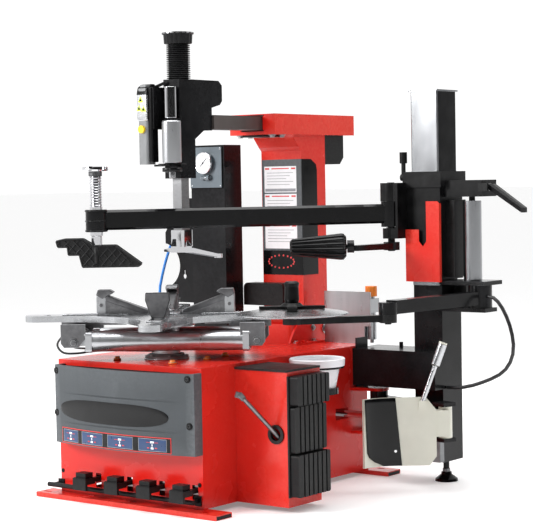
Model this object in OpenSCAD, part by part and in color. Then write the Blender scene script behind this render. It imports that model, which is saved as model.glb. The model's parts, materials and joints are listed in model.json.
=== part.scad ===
// Tilt-back tyre changer with a help arm tower, as an assembly of separate pieces.
// Origin: centre of the four floor anchor slots, on the floor. +Z up, +X to the operator's right,
// -Y towards the operator. Millimetres.

/* [Cabinet] */
// Width of the cabinet
cab_w = 717; // [690:1:740]
// Depth of the cabinet
cab_d = 1038; // [1000:1:1060]
// Height of the cabinet above the foot rails
cab_h = 510; // [500:1:520]
// Height of the foot rails
rail_h = 18; // [14:1:22]
// Thickness of the cabinet sheet
sheet = 3; // [2:0.5:4]

/* [Turntable] */
// Height of the clamping plate above the floor
table_z = 698; // [696:1:704]
// Radius of the tips of the clamping plate
table_r = 540; // [500:5:545]
// Direction of the right arm of the clamping plate at rest
table_turn = 35; // [30:1:40]
// Outward travel of each jaw
jaw_travel = 110; // [80:5:112]

/* [Column] */
// Width of the tilting column
col_w = 208; // [190:2:210]
// Front face of the column, behind the anchor centre
col_y = 438; // [430:1:445]
// Depth of the column
col_d = 164; // [150:2:166]
// Height of the top of the column
col_top = 1383; // [1370:1:1390]

/* [Mounting arm] */
// Side of the square tool shaft
shaft_side = 44; // [36:1:44]
// Distance of the tool shaft in front of the anchor centre
shaft_y = -196; // [-200:1:-190]
// Top of the cap on the tool shaft
cap_top = 1771; // [1765:1:1780]

/* [Help arm tower] */
// Centre of the tower to the right of the anchor centre
tower_x = 674; // [670:1:680]
// Centre of the tower behind the anchor centre
tower_y = 548; // [545:1:552]
// Height of the tower
tower_top = 1540; // [1500:5:1560]
// Length of the press arm, pivot to spindle
press_len = 1171; // [1100:1:1175]

/* [Hidden] */
$fn = 48;

// Running clearance between a shaft and its bore, and gap between faces that slide.
run = 0.05;
gap = 0.3;
cab_top = rail_h + cab_h;
spin_y = -297;

// Anchor slots: a rectangle centred on the origin.
slot_x = 396;
slot_y = 555;
slot_r = 7;
slot_len = 40;

// Side box that carries the wheel rests.
side_w = 239.5;
side_y0 = -327;
side_y1 = -128;
side_top = 508;
lever_hole = [546, side_y0, 281];
lever_out = [-70, -165, 190];

// Front cover: centre, half width, depth of its ends and extra depth of its middle.
cover_x = 12;
cover_half = 348;
cover_side = 43;
cover_bow = 44;

pedal_x = [-160, 0, 160, 320];
pedal_pin = [-470, 78];
bar_pos = [-560, 48];

hub_r = 30;
clamp_z = 603;
clamp_v = 100;
worm_y = -218;
worm_z = 450;
motor_y = -60;
motor_z = 240;

tilt_pin = [560, 580];
tilt_foot = [640, 300];
tilt_lug = [660, 690];
tilt_lean = atan2(tilt_lug[0] - tilt_foot[0], tilt_lug[1] - tilt_foot[1]);
tilt_len = norm(tilt_lug - tilt_foot);

arm_half = 50;
arm_z0 = 1402;
arm_z1 = 1456;
lock_pos = [30, -278];
button_pos = [-87, -312, 1401];

tower_w = 125;
tower_d = 137;
post_top = 777;
press_pivot = [548, 430];
press_z = 1060;
press_dir = 233.3;
press_tip = press_pivot + press_len * [cos(press_dir), sin(press_dir)];
cyl_pos = [848, 546];
cyl_r = 36;
disc_hub = [895, 520];
disc_elbow = [848, -45];
disc_pos = [609, -304];
disc_z = 725;
disc_r = 202;
roller_pos = [431, 100, 940];
roller_turn = 38.2;
lever_pos = [947, 500, 1158];

breaker_pin = [450, 470];
breaker_turn = -16.6;
shovel_pin = 400;
shovel_turn = 38.2;
ram_foot = [-60, 330];
ram_eye = [150, -60];
ram_z = 265;
ram_tip = breaker_pin + turn2(ram_eye, breaker_turn);
ram_lean = atan2(ram_tip[1] - ram_foot[1], ram_tip[0] - ram_foot[0]);
ram_len = norm(ram_tip - ram_foot);

// Routes of the two air hoses.
air_hose_points = [[-362, 320, 1010], [-390, 320, 1012], [-430, 320, 1005], [-470, 320, 985],
    [-502, 320, 950], [-524, 319, 905], [-542, 316, 855], [-556, 312, 805], [-566, 307, 755],
    [-568, 303, 705], [-560, 300, 655], [-538, 300, 610], [-504, 300, 570], [-460, 300, 542],
    [-410, 300, 526], [-362, 300, 520]];
tower_hose_points = [[944, 500, 738], [965, 500, 735], [985, 500, 720], [1004, 500, 696],
    [1022, 500, 664], [1036, 500, 630], [1046, 500, 594], [1051, 500, 558], [1048, 500, 522],
    [1036, 500, 490], [1016, 500, 462], [988, 500, 440], [952, 500, 422], [912, 500, 406],
    [870, 500, 392], [826, 500, 382], [790, 500, 378], [752, 500, 377]];

function turn2(p, a) = [p[0] * cos(a) - p[1] * sin(a), p[0] * sin(a) + p[1] * cos(a)];
function unit(v) = v / norm(v);

// A round tube along a list of points, as one closed polyhedron.
module sweep_tube(pts, r, sides) {
    n = len(pts);
    function dir(i) = unit(pts[min(i + 1, n - 1)] - pts[max(i - 1, 0)]);
    function side(i) = unit(cross(dir(i), [0.1, 1, 0.05]));
    rings = [for (i = [0:n - 1]) let (a = side(i), b = cross(dir(i), a))
        for (k = [0:sides - 1]) pts[i] + r * (cos(360 * k / sides) * a + sin(360 * k / sides) * b)];
    walls = [for (i = [0:n - 2], k = [0:sides - 1]) let (j = (k + 1) % sides)
        [i * sides + k, (i + 1) * sides + k, (i + 1) * sides + j, i * sides + j]];
    polyhedron(rings, concat(walls, [[for (k = [0:sides - 1]) k]],
        [[for (k = [sides - 1:-1:0]) (n - 1) * sides + k]]), convexity = 6);
}

// Rectangle with round corners, centred.
module round_rect(w, d, r) {
    square([w - 2 * r, d], center = true);
    square([w, d - 2 * r], center = true);
    for (sx = [-1, 1], sy = [-1, 1]) translate([sx * (w / 2 - r), sy * (d / 2 - r)]) circle(r);
}

// Box given by its lowest and highest corners.
module box(a, b) { translate(a) cube(b - a); }

// Upright cylinder from z0 to z1.
module post(p, r, z0, z1) { translate([p[0], p[1], z0]) cylinder(r = r, h = z1 - z0); }

// Cylinder along X from x0 to x1.
module rod_x(y, z, r, x0, x1) { translate([x0, y, z]) rotate([0, 90, 0]) cylinder(r = r, h = x1 - x0); }

// Extrudes a Y-Z outline along X from x0 to x1.
module slab_x(x0, x1) {
    translate([x0, 0, 0]) rotate([90, 0, 90]) linear_extrude(x1 - x0) children();
}

module slots(z0, z1) {
    for (sx = [-1, 1], sy = [-1, 1]) translate([sx * slot_x, sy * slot_y, z0])
        linear_extrude(z1 - z0) {
            square([slot_len - 2 * slot_r, 2 * slot_r], center = true);
            for (e = [-1, 1]) translate([e * (slot_len / 2 - slot_r), 0]) circle(slot_r);
        }
}

module cabinet() color([0.82, 0.13, 0.10]) {
    hw = cab_w / 2;
    hd = cab_d / 2;
    difference() {
        union() {
            box([-hw, -hd, rail_h], [hw, hd, cab_top]);
            box([-430, -hd - 66, 0], [470, -hd + 24, rail_h]);
            box([-430, hd - 24, 0], [470, hd + 66, rail_h]);
            // Side box
            box([hw - 1, side_y0, rail_h], [hw + side_w, side_y1, side_top]);
            // Lugs of the bead breaker arm
            for (z = [178, 351]) translate([0, 0, z]) linear_extrude(12)
                union() {
                    translate(breaker_pin) circle(40);
                    polygon([[hw - 1, 400], [breaker_pin[0], breaker_pin[1] - 40],
                        [breaker_pin[0], breaker_pin[1] + 40], [hw - 1, 515]]);
                }
            post(breaker_pin, 15, 178, 363);
        }
        // Entry of the mains lead
        translate([-250, hd - 10, 120]) rotate([-90, 0, 0]) cylinder(r = 10, h = 20);
        box([-hw + sheet, -hd + sheet, rail_h - 1], [hw - sheet, hd - sheet, cab_top - 4]);
        box([hw, side_y0 + sheet, rail_h - 1], [hw + side_w - sheet, side_y1 - sheet, side_top - sheet]);
        slots(-1, rail_h + 1);
        post([0, spin_y], 61, cab_top - 10, cab_top + 10);
        for (x = pedal_x) box([x - 14, -hd - 5, 50], [x + 14, -hd + 10, 104]);
        translate(lever_hole - [0, 5, 0]) rotate([-90, 0, 0]) cylinder(r = 30, h = 15);
        box([hw - 10, 298, 243], [hw + 5, 382, 287]);
        // Cooling slots at the back
        for (i = [0:7]) box([-150, hd - 10, 120 + 22 * i], [150, hd + 5, 128 + 22 * i]);
    }
    // Clevis of the bead breaker cylinder
    for (z = [236, 285]) box([ram_foot[0] - 30, ram_foot[1] - 20, z], [ram_foot[0] + 22, hd - 1, z + 9]);
    post(ram_foot, 9, 236, 294);
}

// Moulded front panel, bowed towards the operator, with two grooves across it.
module cover_outline(half, grow) {
    face = -cab_d / 2;
    translate([cover_x, 0]) polygon(concat([[-half, face], [half, face]],
        [for (i = [12:-1:-12]) let (t = i / 12)
            [half * t, face - cover_side - cover_bow * (1 - t * t) - grow]]));
}
module front_cover() color([0.27, 0.29, 0.31]) difference() {
    translate([0, 0, 216]) linear_extrude(296) cover_outline(cover_half, 0);
    for (z = [296, 408]) translate([0, 0, z]) linear_extrude(5)
        difference() {
            cover_outline(cover_half + 6, 5);
            cover_outline(cover_half + 16, -3);
        }
    translate([0, 0, 220]) linear_extrude(276) cover_outline(cover_half - 5, -7);
    // Shallow tray in the top
    translate([0, 0, 502]) linear_extrude(20) cover_outline(cover_half - 14, -8);
    box([cover_x - cover_half + 9, -cab_d / 2 - 1, 220],
        [cover_x + cover_half - 9, -cab_d / 2 + 1, 496]);
}

// Axle, ears and air valves of the pedals, and the guard bar in front of them.
module pedal_bracket() color([0.07, 0.07, 0.075]) {
    rod_x(pedal_pin[0], pedal_pin[1], 8, -240, 352);
    for (x = [-238, -82, 78, 238, 350]) box([x - 3, -490, 40], [x + 3, -455, 92]);
    box([-241, -515, 36], [353, -400, 41]);
    for (x = pedal_x) box([x - 22, -420, 40], [x + 22, -360, 118]);
    rod_x(bar_pos[0], bar_pos[1], 9, -385, 345);
    for (x = [-372, 332]) box([x, -563, 42], [x + 8, -519, 54]);
    box([-372, -523, 30], [-340, -519, 66]);
    box([318, -523, 30], [350, -519, 66]);
}

module pedal(x) color([0.05, 0.05, 0.055]) {
    difference() {
        union() {
            box([x - 9, -575, 76], [x + 9, -462, 92]);
            rod_x(pedal_pin[0], pedal_pin[1], 15, x - 9, x + 9);
            box([x - 9, -470, 78], [x + 9, -428, 90]);
            box([x - 33, -625, 76], [x + 33, -572, 98]);
            box([x - 25, -616, 97], [x + 25, -576, 118]);
            box([x - 33, -625, 54], [x + 33, -614, 77]);
            for (i = [0:3]) box([x - 30, -622 + 12 * i, 98], [x + 30, -617 + 12 * i, 101]);
        }
        rod_x(pedal_pin[0], pedal_pin[1], 8 + run, x - 20, x + 20);
    }
}
module pedal_1() { pedal(pedal_x[0]); }
module pedal_2() { pedal(pedal_x[1]); }
module pedal_3() { pedal(pedal_x[2]); }
module pedal_4() { pedal(pedal_x[3]); }

// Mat on the side box, ring in the lever hole, and three ribbed wheel rests.
module side_box_rubbers() color([0.045, 0.045, 0.05]) {
    x0 = cab_w / 2 + side_w;
    box([cab_w / 2 + 1, side_y0 - 5, side_top], [x0 - 0.5, side_y1 + 4, side_top + 8]);
    translate(lever_hole - [0, 6, 0]) rotate([-90, 0, 0]) difference() {
        union() {
            cylinder(r = 35, h = 6);
            cylinder(r = 30, h = 14);
        }
        translate([0, 0, -1]) cylinder(r = 23, h = 20);
    }
    box([x0, side_y0 - 2, 55], [x0 + 8, side_y1 + 2, 494]);
    rests = [[388, 494, 45], [216, 382, 30], [57, 210, 45]];
    for (p = rests) difference() {
        slab_x(x0 + 8, x0 + p[2]) translate([(side_y0 + side_y1) / 2, (p[0] + p[1]) / 2])
            round_rect(side_y1 - side_y0 - 6, p[1] - p[0], 8);
        for (i = [1:6]) translate([x0 + p[2] - 5, side_y0 + 6 + 27 * i, p[0] - 1])
            cube([8, 8, p[1] - p[0] + 2]);
    }
}

// Steel bar with a flattened hooked tip, kept in the hole of the side box.
module tyre_lever() color([0.35, 0.33, 0.33]) {
    d = lever_out;
    translate(lever_hole) rotate([0, acos(d[2] / norm(d)), atan2(d[1], d[0])]) {
        translate([0, 0, -62]) cylinder(r = 8, h = 255);
        translate([0, 0, 190]) linear_extrude(26) round_rect(22, 9, 4);
        translate([0, 0, 208]) rotate([0, 28, 0]) linear_extrude(22) round_rect(22, 7, 3);
    }
}

bucket_pos = [486, 8];
module lube_bucket() color([0.93, 0.93, 0.95]) translate([bucket_pos[0], bucket_pos[1], 0])
    rotate_extrude($fn = 64) polygon([[0, 414], [70, 414], [86, 496], [104, 496], [106, 522],
        [103, 525], [100, 522], [99, 500], [82, 500], [67, 417.5], [0, 417.5]]);

module bucket_holder() color([0.05, 0.05, 0.055]) {
    hw = cab_w / 2;
    difference() {
        union() {
            post(bucket_pos, 102, 488, 495.7);
            post(bucket_pos, 80, 390, 413.7);
            box([hw, bucket_pos[1] - 30, 390], [hw + 5, bucket_pos[1] + 30, 495.7]);
            box([hw, bucket_pos[1] - 30, 390], [bucket_pos[0], bucket_pos[1] + 30, 396]);
            box([hw, bucket_pos[1] - 30, 488], [bucket_pos[0], bucket_pos[1] + 30, 495.7]);
        }
        post(bucket_pos, 92, 478, 508);
    }
}

// Gearbox with its top flange, and the motor hung beside it inside the cabinet.
module drive_unit() color([0.55, 0.56, 0.57]) {
    // Caps over the bolts that hold the unit to the cabinet top
    for (p = [[-124, -440], [159, -446], [173, -263], [155, -136]]) {
        post(p, 13, cab_top, cab_top + 7);
        post(p, 9, cab_top + 6, cab_top + 14);
    }
    difference() {
        union() {
            post([0, spin_y], 98, 400, cab_top - 4);
            box([-95, worm_y - 34, 412], [95, worm_y + 34, 488]);
            post([0, spin_y], 60, cab_top - 5, cab_top);
        }
        post([0, spin_y], 74, 424, 480);
        post([0, spin_y], hub_r + run, 390, cab_top + 20);
        rod_x(worm_y, worm_z, 21, -72, 72);
        rod_x(worm_y, worm_z, 12 + run, -100, 100);
    }
    difference() {
        union() {
            post([0, spin_y], 83, cab_top, cab_top + 12);
            post([0, spin_y], 66, cab_top + 12, cab_top + 20);
        }
        post([0, spin_y], hub_r + run, cab_top - 5, cab_top + 30);
        for (i = [0:5]) post([72 * cos(60 * i + 20), spin_y + 72 * sin(60 * i + 20)], 4,
            cab_top + 8, cab_top + 14);
    }
    difference() {
        union() {
            rod_x(motor_y, motor_z, 78, -150, 86);
            box([-110, motor_y - 12, motor_z + 60], [50, motor_y + 12, cab_top - 4]);
        }
        rod_x(motor_y, motor_z, 12 + run, 30, 90);
    }
}

module worm_shaft() color([0.72, 0.72, 0.74]) {
    rod_x(worm_y, worm_z, 12, -94, 125);
    rod_x(worm_y, worm_z, 15, -60, 60);
    difference() {
        rod_x(worm_y, worm_z, 62, 102, 122);
        translate([112, worm_y, worm_z]) rotate([0, 90, 0]) rotate_extrude()
            polygon([[56, 0], [70, -7], [70, 7]]);
    }
}

module motor_pulley() color([0.60, 0.60, 0.62]) {
    rod_x(motor_y, motor_z, 12, 34, 125);
    rod_x(motor_y, motor_z, 26, 102, 122);
}

module belt_loop(extra) hull() {
    translate([worm_y, worm_z]) circle(62.6 + extra);
    translate([motor_y, motor_z]) circle(26.6 + extra);
}
module drive_belt() color([0.04, 0.04, 0.04]) slab_x(105, 119) difference() {
    belt_loop(7);
    belt_loop(0);
}

// Outline of the clamping plate: four arms that flare into a common middle.
module star(k) {
    function half(x) = 43 + 77 * pow(max(0, (430 - x) / 250), 2);
    steps = [180, 215, 250, 290, 330, 380, 430];
    arm = concat([for (x = steps) [x, -half(x)]],
        [for (a = [-90:15:90]) [table_r - 43 + 43 * cos(a), 43 * sin(a)]],
        [for (i = [6:-1:0]) [steps[i], half(steps[i])]]);
    scale(k) polygon([for (q = [0:3], p = arm) turn2(p, 90 * q)]);
}

// Places children in the frame of the clamping plate.
module on_table() { translate([0, spin_y, 0]) rotate(table_turn) children(); }

module turntable() color([0.80, 0.81, 0.83]) on_table() difference() {
    translate([0, 0, table_z - 24]) linear_extrude(24) star(1);
    difference() {
        translate([0, 0, table_z - 25]) linear_extrude(15) star(0.93);
        cylinder(r = 125, h = table_z);
    }
    for (q = [0:3]) rotate(90 * q) box([145, -13.5, table_z - 30], [265 + jaw_travel, 13.5, table_z + 1]);
}

module turntable_hub() color([0.62, 0.63, 0.65]) translate([0, spin_y, 0]) {
    post([0, 0], 110, table_z - 44, table_z - 24);
    post([0, 0], 52, cab_top + 21, table_z - 43);
    post([0, 0], hub_r, 404, cab_top + 22);
    post([0, 0], 62, 430, 474);
}

// One jaw, along +X of the clamping plate: base, slanted guard, claw and the slide below.
module jaw() {
    rotate([90, 0, 0]) translate([0, 0, -20]) linear_extrude(40)
        polygon([[58, table_z + gap], [262, table_z + gap], [262, 770], [254, 792], [212, 792],
            [196, 782], [222, 768], [222, 752], [150, 728], [58, 712]]);
    box([150, -13, table_z - 12], [262, 13, table_z + 1]);
    box([150, -24, table_z - 38], [250, 24, table_z - 14 - gap]);
    box([150, -13, table_z - 20], [250, 13, table_z - 5]);
}

// Arm below the plate that carries the eyes of both clamping cylinders, at x from eye.
module jaw_yoke(eye) {
    box([240, -13, 648], [400, 13, 671]);
    box([240, -13, 660], [250, 13, 671]);
    box([eye - 26, -125, 640], [eye + 26, 125, 652]);
    for (s = [-1, 1]) {
        for (v = [-16, 16])
            box([eye - 16, s * clamp_v + v - 5, 585], [eye + 16, s * clamp_v + v + 5, 641]);
        translate([eye, s * clamp_v - 24, clamp_z]) rotate([-90, 0, 0]) cylinder(r = 7, h = 48);
    }
}

module jaw_left() color([0.45, 0.45, 0.46]) on_table() rotate(180) {
    jaw();
    jaw_yoke(335);
}

module jaw_right() color([0.45, 0.45, 0.46]) on_table() {
    jaw();
    jaw_yoke(353);
}

module jaw_front() color([0.45, 0.45, 0.46]) on_table() rotate(-90) jaw();
module jaw_back() color([0.45, 0.45, 0.46]) on_table() rotate(90) jaw();

// Two clamping cylinders under the plate, tied to the left jaw.
module clamp_tubes() color([0.84, 0.85, 0.86]) on_table()
    for (s = [-1, 1]) difference() {
        union() {
            rod_x(s * clamp_v, clamp_z, 37, -280, 318);
            for (x = [-290, 300]) slab_x(x, x + 24) translate([s * clamp_v, clamp_z])
                round_rect(76, 76, 10);
            difference() {
                union() {
                    box([-335, s * clamp_v - 10.5, clamp_z - 14],
                        [-288, s * clamp_v + 10.5, clamp_z + 14]);
                    translate([-335, s * clamp_v - 10.5, clamp_z]) rotate([-90, 0, 0])
                        cylinder(r = 15, h = 21);
                }
                translate([-335, s * clamp_v - 15, clamp_z]) rotate([-90, 0, 0])
                    cylinder(r = 7 + run, h = 30);
            }
        }
        rod_x(s * clamp_v, clamp_z, 33, -270, 304);
        rod_x(s * clamp_v, clamp_z, 11 + run, 300, 330);
    }

module clamp_rods() color([0.88, 0.88, 0.89]) on_table()
    for (s = [-1, 1]) difference() {
        union() {
            rod_x(s * clamp_v, clamp_z, 11, -200, 340);
            rod_x(s * clamp_v, clamp_z, 33 - run, -222, -200);
            translate([353, s * clamp_v - 10.5, clamp_z]) rotate([-90, 0, 0]) cylinder(r = 15, h = 21);
        }
        translate([353, s * clamp_v - 15, clamp_z]) rotate([-90, 0, 0]) cylinder(r = 7 + run, h = 30);
    }

// Side plates and pin that the column tilts on, bolted behind the cabinet.
module column_base() color([0.78, 0.10, 0.09]) {
    hw = col_w / 2;
    front = [for (a = [0:15:90]) [325 + 120 * (1 - cos(a)) , cab_top + 8 + 104 * sin(a) * sin(a)]];
    for (s = [-1, 1]) translate([s * (hw + 7), 0, 0]) slab_x(-5, 5)
        polygon(concat(front, [[600, 640], [672, 580], [672, 270], [519.2, 270], [519.2, cab_top]],
            [[325, cab_top]]));
    for (s = [-1, 1]) box([s * (hw + 22) - 24, 325, cab_top], [s * (hw + 22) + 24, 519, cab_top + 8]);
    box([-hw - 12, 519.2, 270], [hw + 12, 529, 535]);
    // Moulded cover in front of the tilt pin
    translate([12, 392, cab_top]) difference() {
        linear_extrude(82) round_rect(194, 84, 24);
        translate([0, 0, 40]) linear_extrude(50) round_rect(182, 72, 20);
    }
    rod_x(tilt_pin[0], tilt_pin[1], 12, -hw - 12, hw + 12);
    for (s = [-1, 1]) box([s * 22 - 5, 528, 274], [s * 22 + 5, 656, 322]);
    rod_x(tilt_foot[0], tilt_foot[1], 9, -26, 26);
    for (s = [-1, 1], y = [350, 395]) translate([s * (hw + 32), y, cab_top + 8])
        cylinder(r = 11, h = 8, $fn = 6);
}

module column() color([0.84, 0.13, 0.10]) {
    hw = col_w / 2;
    wall = 6;
    y1 = col_y + col_d;
    difference() {
        union() {
            box([-hw, col_y, 552], [hw, y1, col_top]);
            slab_x(-hw, hw) polygon([[col_y + 1, 1318], [col_y - 16, 1334], [col_y - 50, col_top - 10],
                [col_y - 54, col_top], [col_y + 1, col_top]]);
            for (s = [-1, 1]) slab_x(s * 13 - 4, s * 13 + 4)
                polygon([[y1 - 1, 650], [y1 - 1, 740], [tilt_lug[0] + 14, 715],
                    [tilt_lug[0] + 14, 672]]);
        }
        box([-hw + wall, col_y + wall, 540], [hw - wall, y1 - wall, col_top + 1]);
        rod_x(tilt_pin[0], tilt_pin[1], 12 + run, -hw - 10, hw + 10);
    }
    rod_x(tilt_lug[0], tilt_lug[1], 8, -17, 17);
}

// Hollow beam on the column, with the slides of the horizontal arm inside it.
module head_box() color([0.84, 0.13, 0.10]) {
    z0 = col_top;
    z1 = col_top + 83;
    difference() {
        box([-116, 250, z0], [116, 797, z1]);
        box([-110, 256, z0 + 6], [110, 791, z1 - 6]);
        box([-arm_half - 4, 240, arm_z0 - 4], [arm_half + 4, 260, arm_z1 + 4]);
    }
    for (y = [256, 430]) difference() {
        box([-110, y, z0 + 6], [110, y + 40, z1 - 6]);
        box([-arm_half - gap, y - 1, arm_z0 - gap], [arm_half + gap, y + 41, arm_z1 + gap]);
    }
}

module slide_arm() color([0.24, 0.22, 0.22]) difference() {
    box([-arm_half, -50, arm_z0], [arm_half, 560, arm_z1]);
    box([-arm_half + 6, -40, arm_z0 + 6], [arm_half - 6, 561, arm_z1 - 6]);
}

// Casting at the front of the arm that guides the square shaft, and the bracket of the handle.
module head_casting() color([0.05, 0.05, 0.055]) difference() {
    union() {
        slab_x(-40, 40) polygon([[-240, 1212], [-152, 1212], [-152, 1362], [-98, 1396],
            [-50, 1396], [-50, 1484], [0, 1496], [14, 1512], [14, 1572], [-6, 1590], [-240, 1590]]);
        box([-62, -300, 1400], [-39, -200, 1560]);
        box([-39, -262, 1436], [40, -239, 1440.7]);
    }
    translate([0, shaft_y, 1400]) cube([shaft_side + 2 * gap, shaft_side + 2 * gap, 500], center = true);
}

// Air cylinder that locks the shaft, with its chromed upper part.
module lock_cylinder() color([0.62, 0.63, 0.64]) {
    p = lock_pos;
    post(p, 37, 1267, 1432);
    post(p, 30, 1431, 1436);
    post([p[0] - 14, p[1] + 12], 22, 1441, 1558);
    post(p, 34, 1240, 1268);
    post(p, 37, 1226, 1240);
    box([p[0] - 20, -242, 1290], [p[0] + 8, -240, 1420]);
}

module control_handle() color([0.45, 0.46, 0.47]) difference() {
    union() {
        translate([-87, -287, 1267]) linear_extrude(290) round_rect(50, 50, 12);
        translate([-87, -287, 1556]) linear_extrude(14) round_rect(40, 40, 12);
    }
    translate(button_pos - [0, 1, 0]) rotate([-90, 0, 0]) cylinder(r = 15, h = 22);
}

module lock_button() color([0.93, 0.75, 0.10]) translate(button_pos - [0, 10, 0]) rotate([-90, 0, 0]) {
    cylinder(r = 14.5, h = 10);
    cylinder(r = 14.7, h = 24);
}

module tool_shaft() color([0.60, 0.61, 0.62]) {
    box([-shaft_side / 2, shaft_y - shaft_side / 2, 1015],
        [shaft_side / 2, shaft_y + shaft_side / 2, cap_top - 45]);
    translate([0, shaft_y, 0]) rotate_extrude() polygon([[0, 1727], [50, 1727], [54, 1762],
        [62, 1764], [62, 1769], [50, cap_top], [0, cap_top]]);
}

// Return spring of the shaft, between the casting and the cap.
module shaft_spring() color([0.16, 0.16, 0.17]) {
    turns = 11;
    per_turn = 10;
    z0 = 1593.2;
    z1 = 1724;
    pts = [for (i = [0:turns * per_turn]) let (a = 360 * i / per_turn)
        [40 * cos(a), shaft_y + 40 * sin(a), z0 + (z1 - z0) * i / (turns * per_turn)]];
    n = len(pts);
    rings = [for (i = [0:n - 1]) let (a = 360 * i / per_turn)
        for (k = [0:4]) let (b = 72 * k)
            pts[i] + 2.6 * [cos(a) * cos(b), sin(a) * cos(b), sin(b)]];
    walls = [for (i = [0:n - 2], k = [0:4]) let (j = (k + 1) % 5)
        [i * 5 + k, (i + 1) * 5 + k, (i + 1) * 5 + j, i * 5 + j]];
    polyhedron(rings, concat(walls, [[0, 1, 2, 3, 4]], [[for (k = [4:-1:0]) (n - 1) * 5 + k]]),
        convexity = 20);
}

// Duck-bill head that lifts the bead over the rim.
module mount_head() color([0.70, 0.70, 0.72]) translate([0, shaft_y, 0]) {
    translate([0, 0, 950]) linear_extrude(64) round_rect(64, 64, 10);
    rotate(35) {
        hull() {
            translate([0, 0, 940]) cube([80, 52, 24], center = true);
            translate([-8, 0, 975]) cube([50, 50, 10], center = true);
        }
        hull() {
            translate([30, 0, 936]) cube([30, 50, 18], center = true);
            translate([128, 0, 915]) cube([24, 34, 12], center = true);
        }
        translate([140, 0, 905]) cylinder(r = 16, h = 16);
        hull() {
            translate([-30, 0, 938]) cube([30, 50, 16], center = true);
            translate([-62, -6, 936]) cube([12, 26, 8], center = true);
        }
    }
}

// Cylinder that tilts the column, on its lower pivot.
module tilt_cylinder() color([0.70, 0.71, 0.72])
    translate([0, tilt_foot[0], tilt_foot[1]]) rotate([-tilt_lean, 0, 0]) difference() {
        union() {
            translate([0, 0, 30]) cylinder(r = 30, h = 190);
            translate([-14, -14, 0]) cube([28, 28, 34]);
            rod_x(0, 0, 16, -14, 14);
        }
        rod_x(0, 0, 9 + run, -20, 20);
        translate([0, 0, 44]) cylinder(r = 25, h = 166);
        translate([0, 0, 200]) cylinder(r = 10 + run, h = 30);
    }

module tilt_rod() color([0.86, 0.86, 0.87])
    translate([0, tilt_foot[0], tilt_foot[1]]) rotate([-tilt_lean, 0, 0]) difference() {
        union() {
            translate([0, 0, 130]) cylinder(r = 10, h = tilt_len - 165);
            translate([0, 0, 112]) cylinder(r = 25 - run, h = 19);
            translate([-8, 0, tilt_len]) rotate([0, 90, 0]) cylinder(r = 18, h = 16);
            translate([-8, -9, tilt_len - 40]) cube([16, 18, 30]);
        }
        translate([-10, 0, tilt_len]) rotate([0, 90, 0]) cylinder(r = 11, h = 20);
    }

// Box post behind the table with the tyre gauge on it, and the hose bracket at its side.
module gauge_post() color([0.05, 0.05, 0.055]) {
    x0 = -358;
    x1 = -178;
    y0 = 283;
    y1 = 393;
    difference() {
        box([x0, y0, cab_top], [x1, y1, 1349]);
        box([x0 + 3, y0 + 3, cab_top - 1], [x1 - 3, y1 - 3, 1346]);
    }
    box([x0 + 2, y0 - 5, 1171], [x1 - 8, y0, 1343]);
    difference() {
        union() {
            translate([-270, y0 - 26, 1275]) rotate([-90, 0, 0]) cylinder(r = 41, h = 22);
            translate([-270, y0 - 20, 1212]) rotate([-90, 0, 0]) cylinder(r = 9, h = 16);
        }
        translate([-270, y0 - 30, 1275]) rotate([-90, 0, 0]) cylinder(r = 37, h = 8);
    }
    difference() {
        translate([0, 306, 0]) rotate([90, 0, 0]) linear_extrude(6)
            polygon([[x0 + 1, 690], [-524, 690], [-524, 985], [-430, 1130], [x0 + 1, 1130]]);
        translate([-540, 299, 845]) rotate([-90, 0, 0]) cylinder(r = 95, h = 10);
        translate([-420, 299, 800]) rotate([-90, 0, 0]) cylinder(r = 10, h = 10);
        box([-424, 299, 800], [-416, 310, 826]);
    }
}

module air_hose() color([0.10, 0.45, 0.80]) sweep_tube(air_hose_points, 6, 8);

module tower_hose() color([0.05, 0.05, 0.055]) sweep_tube(tower_hose_points, 7, 8);

// Filter, regulator and oiler for the air supply, on a bracket behind the cabinet.
module air_filter() color([0.72, 0.70, 0.62]) {
    hd = cab_d / 2;
    box([150, hd, 470], [350, hd + 5, 740]);
    box([349, hd, 600], [380, hd + 5, 740]);
    difference() {
        box([295, hd + 4, 655], [380, hd + 64, 712]);
        translate([337, hd + 42, 684]) rotate([-90, 0, 0]) cylinder(r = 6.6, h = 30);
    }
    for (p = [[316, 28], [362, 22]]) {
        post([p[0], hd + 36], p[1] - 6, 625, 656);
        post([p[0], hd + 36], p[1] - 4, 545, 626);
        post([p[0], hd + 36], 8, 531, 546);
    }
    post([360, hd + 36], 14, 711, 720);
}

module regulator_knob() color([0.93, 0.45, 0.08]) difference() {
    post([360, cab_d / 2 + 36], 24, 720.3, 762);
    for (i = [0:11]) post([360 + 25 * cos(30 * i), cab_d / 2 + 36 + 25 * sin(30 * i)], 2.5, 719, 750);
}

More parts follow.
